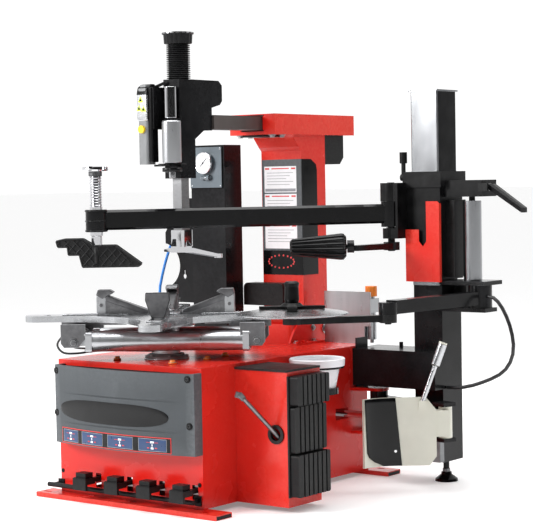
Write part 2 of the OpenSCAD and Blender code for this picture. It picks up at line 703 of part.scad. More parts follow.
// Beam from the cabinet to the tower, the post on it with its levelling foot, and the plates
// that hold the lift cylinder and the disc arm.
module help_post() color([0.05, 0.05, 0.055]) {
    hw = cab_w / 2;
    x0 = tower_x - 56;
    x1 = tower_x + 74;
    difference() {
        union() {
            box([hw, 420, 372], [x0 + 1, 600, 520]);
            box([hw, 420, 372], [x1, 479, 520]);
            box([x0, 478, 83], [x1, 618, post_top]);
            box([hw, 440, 364], [hw + 6, 519, 560]);
            box([x1 - 1, 470, 781], [946, 600, 797]);
            box([x1 - 1, 470, 678], [946, 560, 693.7]);
            box([x1 - 1, 560, 678], [x1 + 60, 600, 797]);
            // Grey stop block above the foot
            box([x0 + 50, 452, 90], [x1, 480, 165]);
            post(disc_hub, 15, 690, 785);
            post([714, 548], 12, 30, 84);
            translate([714, 548, 0]) rotate_extrude() polygon([[0, 0], [46, 0], [44, 10], [22, 26],
                [20, 36], [0, 36]]);
        }
        box([hw + 20, 426, 378], [x0 - 20, 594, 514]);
        box([x0 + 6, 484, 90], [x1 - 6, 612, 600]);
        for (x = [500, 590]) post([x, 560], 9, 500, 530);
    }
    for (x = [500, 590]) post([x, 560], 8, 514, 540);
}

// Square tower with its cap plate, and the tube of the lift cylinder beside it.
module help_column() color([0.74, 0.75, 0.77]) {
    difference() {
        union() {
            translate([tower_x, tower_y, post_top]) linear_extrude(tower_top - 6 - post_top)
                round_rect(tower_w, tower_d, 6);
            translate([tower_x, tower_y, tower_top - 6]) linear_extrude(6)
                round_rect(tower_w + 14, tower_d + 14, 6);
        }
        translate([tower_x, tower_y, post_top - 1]) linear_extrude(tower_top - 8 - post_top)
            round_rect(tower_w - 12, tower_d - 12, 4);
    }
    difference() {
        post(cyl_pos, cyl_r, 797, 1106);
        post(cyl_pos, cyl_r - 4, 805, 1098);
        post(cyl_pos, 12 + run, 1090, 1110);
    }
}

// Carriage that slides on the tower: sleeve, clamp collar, hinge blocks and top plate.
module carriage() color([0.05, 0.05, 0.055]) difference() {
    union() {
        box([tower_x - 78, tower_y - 82, 800], [tower_x + 78, tower_y + 82, 1160]);
        box([tower_x - 88, tower_y - 92, 1160], [tower_x + 88, tower_y + 92, 1222]);
        box([tower_x + 77, 505, 810], [tower_x + 118, 590, 1110]);
        box([tower_x + 77, 490, 1122], [tower_x + 250, 602, 1186]);
        // Hinge blocks of the press arm
        box([press_pivot[0], 400, 1108], [tower_x - 76, 480, 1180]);
        box([press_pivot[0], 400, 962], [tower_x - 76, 480, 1002]);
        box([tower_x - 86, 400, 962], [tower_x - 76, 480, 1180]);
        post(press_pivot, 42, 1108, 1180);
        post(press_pivot, 34, 962, 1002);
        post(press_pivot, 14, 912, 1182);
        // Pivots of the lock lever and of the lift lever
        rod_x(490, 1200, 6, tower_x - 116, tower_x - 80);
        for (y = [466, 522.3]) box([tower_x + 249, y, 1142], [tower_x + 289, y + 11.7, 1174]);
        translate([tower_x + 273, 466, 1158]) rotate([-90, 0, 0]) cylinder(r = 6, h = 68);
        // Rod of the lift cylinder
        post(cyl_pos, 12, 840, 1123);
        post(cyl_pos, cyl_r - 4 - run, 815, 841);
    }
    translate([tower_x, tower_y, 780]) linear_extrude(460)
        square([tower_w + 2 * gap, tower_d + 2 * gap], center = true);
}

// Red sheet cover on the front of the carriage.
module carriage_cover() color([0.86, 0.18, 0.13]) {
    x0 = tower_x - 74;
    x1 = tower_x + 82;
    y1 = tower_y - 82;
    z1 = 1106;
    translate([0, y1 - 12, 0]) rotate([90, 0, 0]) linear_extrude(3)
        polygon([[x0, 792], [x1, 792], [x1, z1 - 8], [x1 - 8, z1], [x0 + 96, z1],
            [x0 + 96, 950], [x0 + 80, 930], [x0 + 62, 950], [x0 + 62, 996], [x0, 996]]);
    for (x = [x0, x1 - 3]) box([x, y1 - 15, 792], [x + 3, y1, x == x0 ? 950 : z1 - 8]);
    for (z = [830, 930]) box([x0 + 20, y1 - 12, z], [x0 + 40, y1, z + 10]);
}

// Valve box on the front of the column and the box under the rear of the head.
module valve_box() color([0.10, 0.10, 0.11]) {
    translate([-62, 0, 0]) rotate([90, 0, 0]) translate([0, 0, -col_y]) linear_extrude(58) union() {
        translate([-103, 682]) square([206, 70]);
        translate([0, 740]) round_rect(206, 70, 22);
    }
    slab_x(-80, 100) polygon([[col_y + col_d, 1262], [col_y + col_d + 112, 1262],
        [col_y + col_d + 138, 1290], [col_y + col_d + 138, col_top], [col_y + col_d, col_top]]);
}

// Long lever at the right of the carriage.
module lift_lever() color([0.05, 0.05, 0.055]) {
    p = lever_pos;
    difference() {
        union() {
            translate([p[0], p[1] - 22, p[2]]) rotate([-90, 0, 0]) cylinder(r = 15, h = 44);
            hull() {
                translate([p[0] + 8, p[1] - 12, p[2] - 8]) cube([20, 24, 20]);
                translate([p[0] + 190, p[1] - 82, p[2] - 96]) cube([14, 20, 18]);
            }
        }
        translate([p[0], p[1] - 40, p[2]]) rotate([-90, 0, 0]) cylinder(r = 6 + run, h = 90);
    }
}

// Clamp lever with its ball knob at the left of the carriage.
module lock_lever() color([0.05, 0.05, 0.055]) {
    x = tower_x - 88;
    difference() {
        union() {
            rod_x(490, 1200, 14, x - 26, x - 1);
            box([x - 22, 482, 1200], [x - 12, 498, 1262]);
        }
        rod_x(490, 1200, 6 + run, x - 40, x + 10);
    }
    post([x - 17, 490], 15, 1256, 1300);
}

// Long help arm with a shallow double bend, from its pivot to the spindle.
press_bends = [[0, 0], [120, 0], [240, 6], [360, 16], [470, 22], [580, 20], [700, 10], [800, 2],
    [900, 0], [1010, 0], [1100, 0], [press_len, 0]];
function press_slope(i) =
    unit(press_bends[min(i + 1, len(press_bends) - 1)] - press_bends[max(i - 1, 0)]);
module press_arm() color([0.05, 0.05, 0.055]) {
    n = len(press_bends);
    hw = 21;
    hh = 38;
    c = 9;
    section = [[hw, hh - c], [hw - c, hh], [c - hw, hh], [-hw, hh - c], [-hw, c - hh], [c - hw, -hh],
        [hw - c, -hh], [hw, c - hh]];
    pts = [for (i = [0:n - 1], s = section) [press_bends[i][0] - press_slope(i)[1] * s[0],
        press_bends[i][1] + press_slope(i)[0] * s[0], s[1]]];
    walls = [for (i = [0:n - 2], k = [0:7]) let (j = (k + 1) % 8)
        [i * 8 + k, (i + 1) * 8 + k, (i + 1) * 8 + j, i * 8 + j]];
    translate([press_pivot[0], press_pivot[1], press_z]) rotate(press_dir) difference() {
        union() {
            polyhedron(pts, concat(walls, [[for (k = [0:7]) k]],
                [[for (k = [7:-1:0]) (n - 1) * 8 + k]]), convexity = 4);
            translate([0, 0, -52]) cylinder(r = 40, h = 99.5);
            translate([press_len, 0, -44]) cylinder(r = 40, h = 84);
        }
        translate([0, 0, -60]) cylinder(r = 14 + run, h = 120);
        translate([press_len, 0, -60]) cylinder(r = 24 + run, h = 120);
    }
}

// Ribbed spindle of the press tool, with its hand knob.
module press_spindle() color([0.66, 0.67, 0.68]) {
    translate([press_tip[0], press_tip[1], 0]) rotate_extrude() polygon(concat([[0, 930], [20, 930]],
        [[20, 1000], [24, 1002], [24, 1110]],
        [for (i = [0:11]) each [[20, 1112 + 10 * i], [24, 1116 + 10 * i]]],
        [[18, 1232], [18, 1243], [46, 1244], [50, 1250], [48, 1260], [30, 1263], [0, 1263]]));
}

// Moulded press block that pushes the bead down.
module press_block() color([0.06, 0.06, 0.065])
    translate([press_tip[0], press_tip[1], 0]) rotate(38.2) difference() {
        union() {
            translate([0, 30, 0]) rotate([90, 0, 0]) linear_extrude(60)
                polygon([[-149, 984], [-143, 962], [-107, 962], [-104, 932], [-63, 932], [-52, 886],
                    [158, 886], [166, 894], [72, 964], [-9, 964], [-52, 990], [-120, 990]]);
            post([0, 0], 34, 930, 965);
        }
        translate([0, 0, 928]) cylinder(r = 20 + run, h = 80);
    }

// Arm under the press arm that carries the cone roller.
module roller_arm() color([0.05, 0.05, 0.055]) {
    p = press_pivot;
    q = [roller_pos[0], roller_pos[1]];
    a = turn2([1, 0], roller_turn);
    e = q + 128 * a;
    difference() {
        union() {
            post(p, 32, 916, 948);
            hull() {
                post(p, 24, 920, 944);
                post([e[0] + 6, e[1] + 20], 20, 922, 944);
            }
            translate([q[0], q[1], roller_pos[2]]) rotate([0, 90, roller_turn]) translate([0, 0, 112])
                cylinder(r = 24, h = 26);
        }
        post(p, 14 + run, 900, 960);
    }
    translate([q[0], q[1], roller_pos[2]]) rotate([0, 90, roller_turn]) translate([0, 0, -100])
        cylinder(r = 9, h = 220);
}

module cone_roller() color([0.05, 0.05, 0.055])
    translate([roller_pos[0], roller_pos[1], roller_pos[2]]) rotate([0, 90, roller_turn]) rotate_extrude()
        polygon([[9 + run, -108], [22, -108], [32, -100], [51, 90], [48, 102], [40, 108],
            [9 + run, 108]]);

// First link of the bead disc arm, on its upright pin at the tower.
module disc_arm() color([0.05, 0.05, 0.055]) {
    h = disc_hub;
    e = disc_elbow;
    a = atan2(e[1] - h[1], e[0] - h[0]);
    difference() {
        union() {
            post(h, 46, 694, 780.7);
            translate([h[0], h[1], 0]) rotate(a) box([20, -24, 706], [norm(e - h) - 20, 24, 756]);
            post(e, 34, 706, 750);
        }
        post(h, 15 + run, 680, 790);
    }
    post(e, 12, 670, 707);
}

// Second link, with the axle, hub cross and grip of the bead disc.
module disc_link() color([0.05, 0.05, 0.055]) {
    e = disc_elbow;
    d = disc_pos;
    a = atan2(d[1] - e[1], d[0] - e[0]);
    difference() {
        union() {
            post(e, 32, 676, 705.7);
            translate([e[0], e[1], 0]) rotate(a) box([18, -20, 680], [norm(d - e), 20, 704]);
            post(d, 34, 680, 706);
        }
        post(e, 12 + run, 660, 720);
    }
    post(d, 12, 700, 745);
    translate([d[0], d[1], 0]) {
        for (q = [0, 90]) rotate(q + 38) box([-118, -18, disc_z + 12], [118, 18, disc_z + 22]);
        translate([0, 0, disc_z + 21]) cylinder(r1 = 44, r2 = 30, h = 12);
        rotate_extrude() polygon([[0, disc_z + 30], [22, disc_z + 30], [27, disc_z + 45],
            [25, disc_z + 90], [28, disc_z + 104], [20, disc_z + 110], [0, disc_z + 110]]);
    }
}

module wheel_disc() color([0.70, 0.71, 0.73]) translate([disc_pos[0], disc_pos[1], 0])
    rotate_extrude($fn = 96) polygon([[12 + run, 706.5], [40, 706.5], [disc_r - 10, disc_z - 10],
        [disc_r, disc_z - 8], [disc_r, disc_z - 4], [disc_r - 8, disc_z - 2], [110, disc_z + 11],
        [12 + run, disc_z + 11]]);

// Places children along the bead breaker arm.
module on_breaker() { translate([breaker_pin[0], breaker_pin[1], 0]) rotate(breaker_turn) children(); }

module breaker_arm() color([0.05, 0.05, 0.055]) on_breaker() {
    difference() {
        union() {
            post([0, 0], 36, 190.5, 350.5);
            box([10, -30, 196], [372, 30, 330]);
            box([360, -30, 326], [shovel_pin + 26, 30, 340]);
            box([360, -30, 190], [shovel_pin + 26, 30, 204]);
            for (z = [244, 274])
                box([ram_eye[0] - 16, ram_eye[1] - 16, z], [ram_eye[0] + 16, -29, z + 12]);
        }
        post([0, 0], 15 + run, 180, 360);
        box([50, -24, 202], [360, 24, 324]);
    }
    post(ram_eye, 8, 250, 280);
    post([shovel_pin, 0], 12, 200, 330);
}

// Curved shovel with its mounting plate and pull handle.
module breaker_shovel() color([0.40, 0.41, 0.42]) on_breaker() translate([shovel_pin, 0, 0])
    rotate(shovel_turn - breaker_turn) {
        // Along -X of this frame runs the shovel, -Y faces the wheel.
        difference() {
            union() {
                post([0, 0], 26, 205, 325);
                box([-60, -46, 215], [10, -6, 315]);
            }
            post([0, 0], 12 + run, 190, 340);
        }
        translate([0, -45, 0]) {
            rotate([90, 0, 0]) linear_extrude(9) polygon([[-200, 108], [-66, 108], [-40, 142],
                [-40, 320], [-78, 368], [-200, 368]]);
            translate([-200, -165, 108]) rotate(90) rotate_extrude(angle = 48)
                translate([156, 0]) square([9, 260]);
        }
        translate([-92, -58, 350]) rotate([0, 20, 0]) cylinder(r = 8, h = 150);
        translate([-92, -58, 350]) rotate([0, 20, 0]) translate([0, 0, 148]) cylinder(r = 16, h = 92);
        box([-106, -68, 320], [-78, -44, 356]);
    }

module on_ram() { translate([ram_foot[0], ram_foot[1], ram_z]) rotate([0, 0, ram_lean]) children(); }

module breaker_cylinder() color([0.70, 0.71, 0.72]) on_ram() difference() {
    union() {
        rod_x(0, 0, 62, 30, 330);
        box([-16, -14, -16], [40, 14, 16]);
        translate([0, 0, -16]) cylinder(r = 20, h = 32);
    }
    translate([0, 0, -20]) cylinder(r = 9 + run, h = 40);
    rod_x(0, 0, 55, 44, 316);
    rod_x(0, 0, 14 + run, 310, 340);
}

module breaker_rod() color([0.86, 0.86, 0.87]) on_ram() difference() {
    union() {
        rod_x(0, 0, 14, 220, ram_len - 38);
        box([ram_len - 46, -12, -8], [ram_len - 14, 12, 8]);
        rod_x(0, 0, 55 - run, 196, 221);
        translate([ram_len, 0, -8]) cylinder(r = 22, h = 16);
    }
    translate([ram_len, 0, -10]) cylinder(r = 12, h = 20);
}

cabinet();
front_cover();
pedal_bracket();
pedal_1();
pedal_2();
pedal_3();
pedal_4();
side_box_rubbers();
tyre_lever();
lube_bucket();
bucket_holder();
drive_unit();
worm_shaft();
motor_pulley();
drive_belt();
turntable();
turntable_hub();
jaw_left();
jaw_right();
jaw_front();
jaw_back();
clamp_tubes();
clamp_rods();
column_base();
column();
head_box();
slide_arm();
head_casting();
lock_cylinder();
control_handle();
lock_button();
tool_shaft();
shaft_spring();
mount_head();
tilt_cylinder();
tilt_rod();
gauge_post();
air_hose();
air_filter();
regulator_knob();
help_post();
help_column();
carriage();
carriage_cover();
valve_box();
lift_lever();
lock_lever();
press_arm();
press_spindle();
press_block();
roller_arm();
cone_roller();
disc_arm();
disc_link();
wheel_disc();
tower_hose();
breaker_arm();
breaker_shovel();
breaker_cylinder();
breaker_rod();
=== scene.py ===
"""Looks of a tilt-back tyre changer with a help arm tower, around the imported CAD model."""

import json
import math

import bmesh
import bpy
from mathutils import Matrix, Vector


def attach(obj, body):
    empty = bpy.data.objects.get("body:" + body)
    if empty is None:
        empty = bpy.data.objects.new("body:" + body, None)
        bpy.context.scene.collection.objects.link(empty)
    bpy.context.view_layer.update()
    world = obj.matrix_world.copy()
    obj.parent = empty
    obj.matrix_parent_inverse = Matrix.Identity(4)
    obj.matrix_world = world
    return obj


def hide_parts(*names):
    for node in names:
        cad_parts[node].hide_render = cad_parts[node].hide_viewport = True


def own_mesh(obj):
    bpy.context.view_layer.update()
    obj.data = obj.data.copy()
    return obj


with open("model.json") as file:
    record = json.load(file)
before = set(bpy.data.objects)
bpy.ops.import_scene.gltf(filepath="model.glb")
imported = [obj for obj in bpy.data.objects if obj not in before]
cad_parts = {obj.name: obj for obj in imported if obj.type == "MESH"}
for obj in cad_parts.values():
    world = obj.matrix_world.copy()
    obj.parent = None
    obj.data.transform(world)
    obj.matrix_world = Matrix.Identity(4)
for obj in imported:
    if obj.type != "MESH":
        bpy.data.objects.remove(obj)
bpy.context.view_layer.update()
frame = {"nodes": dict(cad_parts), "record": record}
MM = 0.001

# ---------------------------------------------------------------- materials


def material(name, base, rough, metal=0.0, vary=0.06, scale=30.0, bump=0.0, bump_scale=400.0,
             wear=None, coat=0.0, stretch=(1, 1, 1), spec=0.5, rough_vary=0.08, transmission=0.0):
    """A node material: colour and roughness vary with noise, a fine bump, and worn edges."""
    m = bpy.data.materials.new(name)
    m.use_nodes = True
    nt = m.node_tree
    n, link = nt.nodes, nt.links.new
    bsdf = n["Principled BSDF"]
    bsdf.inputs["Metallic"].default_value = metal
    bsdf.inputs["Coat Weight"].default_value = coat
    bsdf.inputs["Coat Roughness"].default_value = 0.06
    bsdf.inputs["Specular IOR Level"].default_value = spec
    bsdf.inputs["Transmission Weight"].default_value = transmission
    coord = n.new("ShaderNodeTexCoord")
    mapping = n.new("ShaderNodeMapping")
    mapping.inputs["Scale"].default_value = stretch
    link(coord.outputs["Object"], mapping.inputs["Vector"])
    noise = n.new("ShaderNodeTexNoise")
    noise.inputs["Scale"].default_value = scale
    noise.inputs["Detail"].default_value = 6
    link(mapping.outputs["Vector"], noise.inputs["Vector"])
    ramp = n.new("ShaderNodeValToRGB")
    dark = [c * (1 - vary) for c in base]
    light = [min(1, c * (1 + vary) + 0.02 * vary) for c in base]
    ramp.color_ramp.elements[0].position, ramp.color_ramp.elements[1].position = 0.3, 0.7
    ramp.color_ramp.elements[0].color = (*dark, 1)
    ramp.color_ramp.elements[1].color = (*light, 1)
    link(noise.outputs["Fac"], ramp.inputs["Fac"])
    colour = ramp.outputs["Color"]
    if wear:
        geo = n.new("ShaderNodeNewGeometry")
        edge = n.new("ShaderNodeMapRange")
        edge.inputs["From Min"].default_value, edge.inputs["From Max"].default_value = 0.55, 0.68
        link(geo.outputs["Pointiness"], edge.inputs["Value"])
        grit = n.new("ShaderNodeTexNoise")
        grit.inputs["Scale"].default_value = 90
        link(coord.outputs["Object"], grit.inputs["Vector"])
        times = n.new("ShaderNodeMath")
        times.operation = "MULTIPLY"
        link(edge.outputs["Result"], times.inputs[0])
        link(grit.outputs["Fac"], times.inputs[1])
        mix = n.new("ShaderNodeMixRGB")
        link(times.outputs["Value"], mix.inputs["Fac"])
        link(colour, mix.inputs["Color1"])
        mix.inputs["Color2"].default_value = (*wear, 1)
        colour = mix.outputs["Color"]
    link(colour, bsdf.inputs["Base Color"])
    spread = n.new("ShaderNodeMapRange")
    spread.inputs["To Min"].default_value = max(0.02, rough - rough_vary)
    spread.inputs["To Max"].default_value = min(1, rough + rough_vary)
    link(noise.outputs["Fac"], spread.inputs["Value"])
    link(spread.outputs["Result"], bsdf.inputs["Roughness"])
    if bump:
        fine = n.new("ShaderNodeTexNoise")
        fine.inputs["Scale"].default_value = bump_scale
        fine.inputs["Detail"].default_value = 4
        link(mapping.outputs["Vector"], fine.inputs["Vector"])
        bumps = n.new("ShaderNodeBump")
        bumps.inputs["Strength"].default_value = bump
        bumps.inputs["Distance"].default_value = 0.0006
        link(fine.outputs["Fac"], bumps.inputs["Height"])
        link(bumps.outputs["Normal"], bsdf.inputs["Normal"])
    return m


RED = material("red_enamel", (0.66, 0.012, 0.007), 0.26, vary=0.06, scale=6, bump=0.06, bump_scale=160,
               coat=0.12, spec=0.3, wear=(0.72, 0.08, 0.05))
BLACK = material("black_enamel", (0.0022, 0.0022, 0.0026), 0.20, vary=0.3, scale=12, bump=0.06,
                 bump_scale=240, coat=0.05, spec=0.16, wear=(0.02, 0.02, 0.022))
CAST = material("black_casting", (0.003, 0.003, 0.0034), 0.34, vary=0.3, scale=20, bump=0.3,
                bump_scale=500, spec=0.14, wear=(0.025, 0.025, 0.025))
PLASTIC = material("black_moulding", (0.004, 0.004, 0.0045), 0.36, vary=0.2, scale=40, bump=0.3,
                   bump_scale=900, spec=0.15, wear=(0.025, 0.025, 0.025))
RUBBER = material("black_rubber", (0.012, 0.012, 0.013), 0.62, vary=0.25, scale=25, bump=0.45,
                  bump_scale=700, spec=0.35, wear=(0.06, 0.06, 0.06))
SLATE = material("slate_moulding", (0.050, 0.057, 0.063), 0.48, vary=0.08, scale=10, bump=0.25,
                 bump_scale=1100, spec=0.35, wear=(0.14, 0.15, 0.16))
COAL = material("dark_moulding", (0.007, 0.007, 0.0075), 0.4, vary=0.15, scale=30, bump=0.2,
                bump_scale=900, spec=0.2, wear=(0.035, 0.035, 0.035))
GREY = material("grey_moulding", (0.20, 0.205, 0.21), 0.42, vary=0.08, scale=20, bump=0.2, bump_scale=900)
STEEL = material("satin_steel", (0.496, 0.504, 0.52), 0.26, metal=1, vary=0.08, scale=14, bump=0.12,
                 bump_scale=120, stretch=(1, 1, 6), rough_vary=0.10)
TURNED = material("turned_steel", (0.4, 0.4, 0.408), 0.30, metal=1, vary=0.10, scale=60,
                  stretch=(1, 1, 12), bump=0.15, bump_scale=200)
DARK = material("dark_steel", (0.13, 0.13, 0.135), 0.36, metal=0.9, vary=0.2, scale=40, bump=0.3,
                bump_scale=300, wear=(0.45, 0.45, 0.46))
ALLOY = material("silver_alloy", (0.446, 0.454, 0.468), 0.30, metal=0.85, vary=0.04, scale=8,
                 stretch=(6, 6, 0.6), bump=0.06, bump_scale=300)
CHROME = material("bright_chrome", (0.68, 0.68, 0.697), 0.08, metal=1, vary=0.04, scale=20, rough_vary=0.04)
MACHINED = material("tower_steel", (0.374, 0.382, 0.396), 0.24, metal=1, vary=0.20, scale=7,
                    stretch=(1, 1, 0.35), bump=0.1, bump_scale=260, rough_vary=0.14)
WHITE = material("white_plastic", (0.86, 0.86, 0.89), 0.30, vary=0.03, scale=15, bump=0.05, bump_scale=500)
IVORY = material("ivory_enamel", (0.66, 0.65, 0.56), 0.30, vary=0.06, scale=8, bump=0.1, coat=0.3)
ORANGE = material("orange_plastic", (0.90, 0.24, 0.02), 0.32, vary=0.08, scale=40, bump=0.1)
YELLOW = material("yellow_plastic", (0.92, 0.62, 0.02), 0.30, vary=0.06, scale=60, bump=0.1)
BLUE = material("blue_hose", (0.02, 0.20, 0.62), 0.34, vary=0.08, scale=60, coat=0.2)
HOSE = material("black_hose", (0.012, 0.012, 0.013), 0.38, vary=0.2, scale=80, bump=0.3, bump_scale=1500)
IRON = material("grey_iron", (0.24, 0.25, 0.26), 0.5, vary=0.15, scale=30, bump=0.5, bump_scale=400)
BLUEGREY = material("panel_blue_grey", (0.10, 0.125, 0.145), 0.34, vary=0.25, scale=9, bump=0.1, coat=0.2)
LABEL = material("white_label", (0.80, 0.81, 0.83), 0.35, vary=0.03, scale=30)
LABEL_RED = material("label_red", (0.62, 0.03, 0.03), 0.35, vary=0.05, scale=30)
LABEL_BLUE = material("label_blue", (0.015, 0.045, 0.13), 0.30, vary=0.12, scale=30)
LABEL_LIME = material("label_lime", (0.62, 0.75, 0.05), 0.35, vary=0.08, scale=60)
UMBER = material("slide_steel", (0.075, 0.062, 0.058), 0.42, metal=0.3, vary=0.15, scale=12, bump=0.2)
PRINT = material("grey_print", (0.25, 0.26, 0.28), 0.45, vary=0.1, scale=80)
GLOSS = material("gloss_black", (0.002, 0.002, 0.0024), 0.12, vary=0.2, scale=20, coat=0.06, spec=0.2)
# Flat black for the recess along the top of the front cover: painted shade.
RECESS_SHADE = material("recess_painted_shade", (0.004, 0.004, 0.004), 0.7, vary=0.2, scale=30, bump=0.3, spec=0.2)

CAD_LOOKS = {
    "red_paint": RED, "black_steel": BLACK, "black_alloy": CAST, "grey_cover": SLATE,
    "black_plastic": PLASTIC, "grey_plastic": GREY, "black_rubber": RUBBER, "dark_steel": DARK,
    "satin_steel": STEEL, "machined_steel": TURNED, "cast_grey": IRON, "chrome": CHROME,
    "silver_alloy": ALLOY, "white_plastic": WHITE, "orange_plastic": ORANGE,
    "yellow_plastic": YELLOW, "blue_hose": BLUE, "black_hose": HOSE,
}
BEVELS = {"cabinet": 4, "front_cover": 2.5, "side_box_rubbers": 4, "turntable": 5, "column": 5,
          "head_box": 4, "head_casting": 7, "help_post": 3, "help_column": 2, "carriage": 4,
          "press_arm": 9, "disc_arm": 6, "disc_link": 5, "slide_arm": 2, "control_handle": 4,
          "carriage_cover": 1, "valve_box": 6, "gauge_post": 3, "column_base": 2,
          "breaker_arm": 3, "lift_lever": 5, "pedal_bracket": 1.5, "tool_shaft": 1.5}
NO_BEVEL = {"shaft_spring", "air_hose", "tower_hose", "drive_belt"}


def soften(obj, width):
    """Rounds hard edges by a bevel of that many millimetres and shades the faces smooth."""
    for p in obj.data.polygons:
        p.use_smooth = True
    if width:
        bevel = obj.modifiers.new("edges", "BEVEL")
        bevel.width = width * MM
        bevel.segments = 3
        bevel.limit_method = "ANGLE"
        bevel.angle_limit = math.radians(32)
        bevel.harden_normals = True
    normals = obj.modifiers.new("normals", "WEIGHTED_NORMAL")
    normals.keep_sharp = True


slots = {s["node"]: s["material_slot"] for s in frame["record"]["subparts"]}
for node, obj in frame["nodes"].items():
    obj.data.materials.clear()
    obj.data.materials.append(CAD_LOOKS[slots[node]])
    width = 0 if node in NO_BEVEL else BEVELS.get(node, 1.2)
    soften(obj, width)
for node, look in {"help_column": MACHINED, "cone_roller": PLASTIC, "mount_head": CHROME,
                   "press_arm": GLOSS, "disc_arm": BLACK, "head_casting": BLACK,
                   "wheel_disc": STEEL, "gauge_post": BLACK, "pedal_bracket": PLASTIC,
                   "press_block": COAL, "breaker_shovel": IVORY, "side_box_rubbers": COAL,
                   "slide_arm": UMBER}.items():
    frame["nodes"][node].data.materials[0] = look

# ---------------------------------------------------------------- mesh helpers (millimetres in)


class Build:
    """Gathers shapes, given in millimetres, into one piece with several materials."""

    def __init__(self, name, *looks):
        self.name, self.looks, self.bm = name, looks, bmesh.new()

    def mark(self, faces, look):
        """Gives faces one of the piece's materials and smooth shading."""
        for f in faces:
            f.material_index = self.looks.index(look) if look else 0
            f.smooth = True

    def box(self, lo, hi, look=None, at=None, round_by=0.0, segs=3):
        """Box between two corners, turned by at, with rounded edges."""
        lo, hi = Vector(lo), Vector(hi)
        made = bmesh.ops.create_cube(self.bm, size=1)["verts"]
        for v in made:
            v.co = Vector([(lo[i] + hi[i]) / 2 + v.co[i] * (hi[i] - lo[i]) for i in range(3)]) * MM
        if at is not None:
            for v in made:
                v.co = at @ v.co
        faces = {f for v in made for f in v.link_faces}
        if round_by:
            self.bm.normal_update()
            edges = list({e for v in made for e in v.link_edges})
            out = bmesh.ops.bevel(self.bm, geom=edges, offset=round_by * MM, segments=segs,
                                  affect="EDGES", profile=0.5)
            faces = {f for f in faces if f.is_valid} | set(out["faces"])
            faces |= {f for v in out["verts"] for f in v.link_faces}
        self.mark(faces, look)
        return self

    def rod(self, a, b, r, look=None, segs=32, round_by=0.0):
        """Round bar of radius r from a to b."""
        a, b = Vector(a) * MM, Vector(b) * MM
        d = b - a
        turn = d.to_track_quat("Z", "Y").to_matrix().to_4x4()
        at = Matrix.Translation((a + b) / 2) @ turn
        made = bmesh.ops.create_cone(self.bm, cap_ends=True, segments=segs, radius1=r * MM,
                                     radius2=r * MM, depth=d.length, matrix=at)["verts"]
        faces = {f for v in made for f in v.link_faces}
        if round_by:
            self.bm.normal_update()
            rims = [e for e in {e for v in made for e in v.link_edges}
                    if any(len(f.verts) > 4 for f in e.link_faces)]
            out = bmesh.ops.bevel(self.bm, geom=rims, offset=round_by * MM, segments=3,
                                  affect="EDGES", profile=0.5)
            faces = {f for f in faces if f.is_valid} | set(out["faces"])
        self.mark(faces, look)
        return self

    def lathe(self, profile, at, look=None, segs=48, ribs=0, depth=0.0, caps=True):
        """Turns (radius, height) points about the local Z of at; ribs pull the radius in."""
        rings = []
        for r, h in profile:
            ring = []
            for k in range(segs):
                a = 2 * math.pi * k / segs
                rr = r - (depth * (0.5 - 0.5 * math.cos(ribs * a)) ** 2 if ribs and r > 12 else 0)
                ring.append(self.bm.verts.new(at @ (Vector((rr * math.cos(a), rr * math.sin(a), h)) * MM)))
            rings.append(ring)
        faces = []
        for lower, upper in zip(rings, rings[1:]):
            for k in range(segs):
                j = (k + 1) % segs
                faces.append(self.bm.faces.new((lower[k], lower[j], upper[j], upper[k])))
        if caps:
            faces.append(self.bm.faces.new(rings[0][::-1]))
            faces.append(self.bm.faces.new(rings[-1]))
        self.mark(faces, look)
        return self

    def prism(self, outline, depth, at, look=None, round_by=0.0, segs=2):
        """Outline in the local XY of at, pushed along local Z by depth."""
        low = [self.bm.verts.new(at @ (Vector((x, y, 0)) * MM)) for x, y in outline]
        high = [self.bm.verts.new(at @ (Vector((x, y, depth)) * MM)) for x, y in outline]
        n = len(outline)
        faces = [self.bm.faces.new(low[::-1]), self.bm.faces.new(high)]
        faces += [self.bm.faces.new((low[i], low[(i + 1) % n], high[(i + 1) % n], high[i]))
                  for i in range(n)]
        if round_by:
            self.bm.normal_update()
            edges = list({e for f in faces for e in f.edges})
            out = bmesh.ops.bevel(self.bm, geom=edges, offset=round_by * MM, segments=segs,
                                  affect="EDGES", profile=0.5)
            faces = [f for f in faces if f.is_valid] + out["faces"]
        self.mark(faces, look)
        return self

    def tube(self, points, r, look=None, segs=12):
        """A round tube through points, smoothed."""
        pts = smooth([Vector(p) for p in points])
        rings = []
        side = None
        for i, p in enumerate(pts):
            d = (pts[min(i + 1, len(pts) - 1)] - pts[max(i - 1, 0)]).normalized()
            if side is None:
                side = d.orthogonal().normalized()
            side = (side - d * side.dot(d)).normalized()
            other = d.cross(side)
            rings.append([self.bm.verts.new((p + r * (math.cos(a) * side + math.sin(a) * other)) * MM)
                          for a in [2 * math.pi * k / segs for k in range(segs)]])
        faces = [self.bm.faces.new((a[k], a[(k + 1) % segs], b[(k + 1) % segs], b[k]))
                 for a, b in zip(rings, rings[1:]) for k in range(segs)]
        faces += [self.bm.faces.new(rings[0][::-1]), self.bm.faces.new(rings[-1])]
        self.mark(faces, look)
        return self

    def bolt(self, at, along, r, look=None, washer=None):
        """Hex head on a washer, standing out along a direction."""
        d = Vector(along).normalized()
        p = Vector(at)
        if washer:
            self.rod(p, p + d * r * 0.28, r * 1.45, washer, round_by=0.4)
        base = p + d * (r * 0.28 if washer else 0)
        turn = d.to_track_quat("Z", "Y").to_matrix().to_4x4()
        mat = Matrix.Translation(base * MM) @ turn
        self.prism([(r * math.cos(math.radians(60 * k)), r * math.sin(math.radians(60 * k)))
                    for k in range(6)], r * 0.75, mat, look, round_by=r * 0.10)
        return self

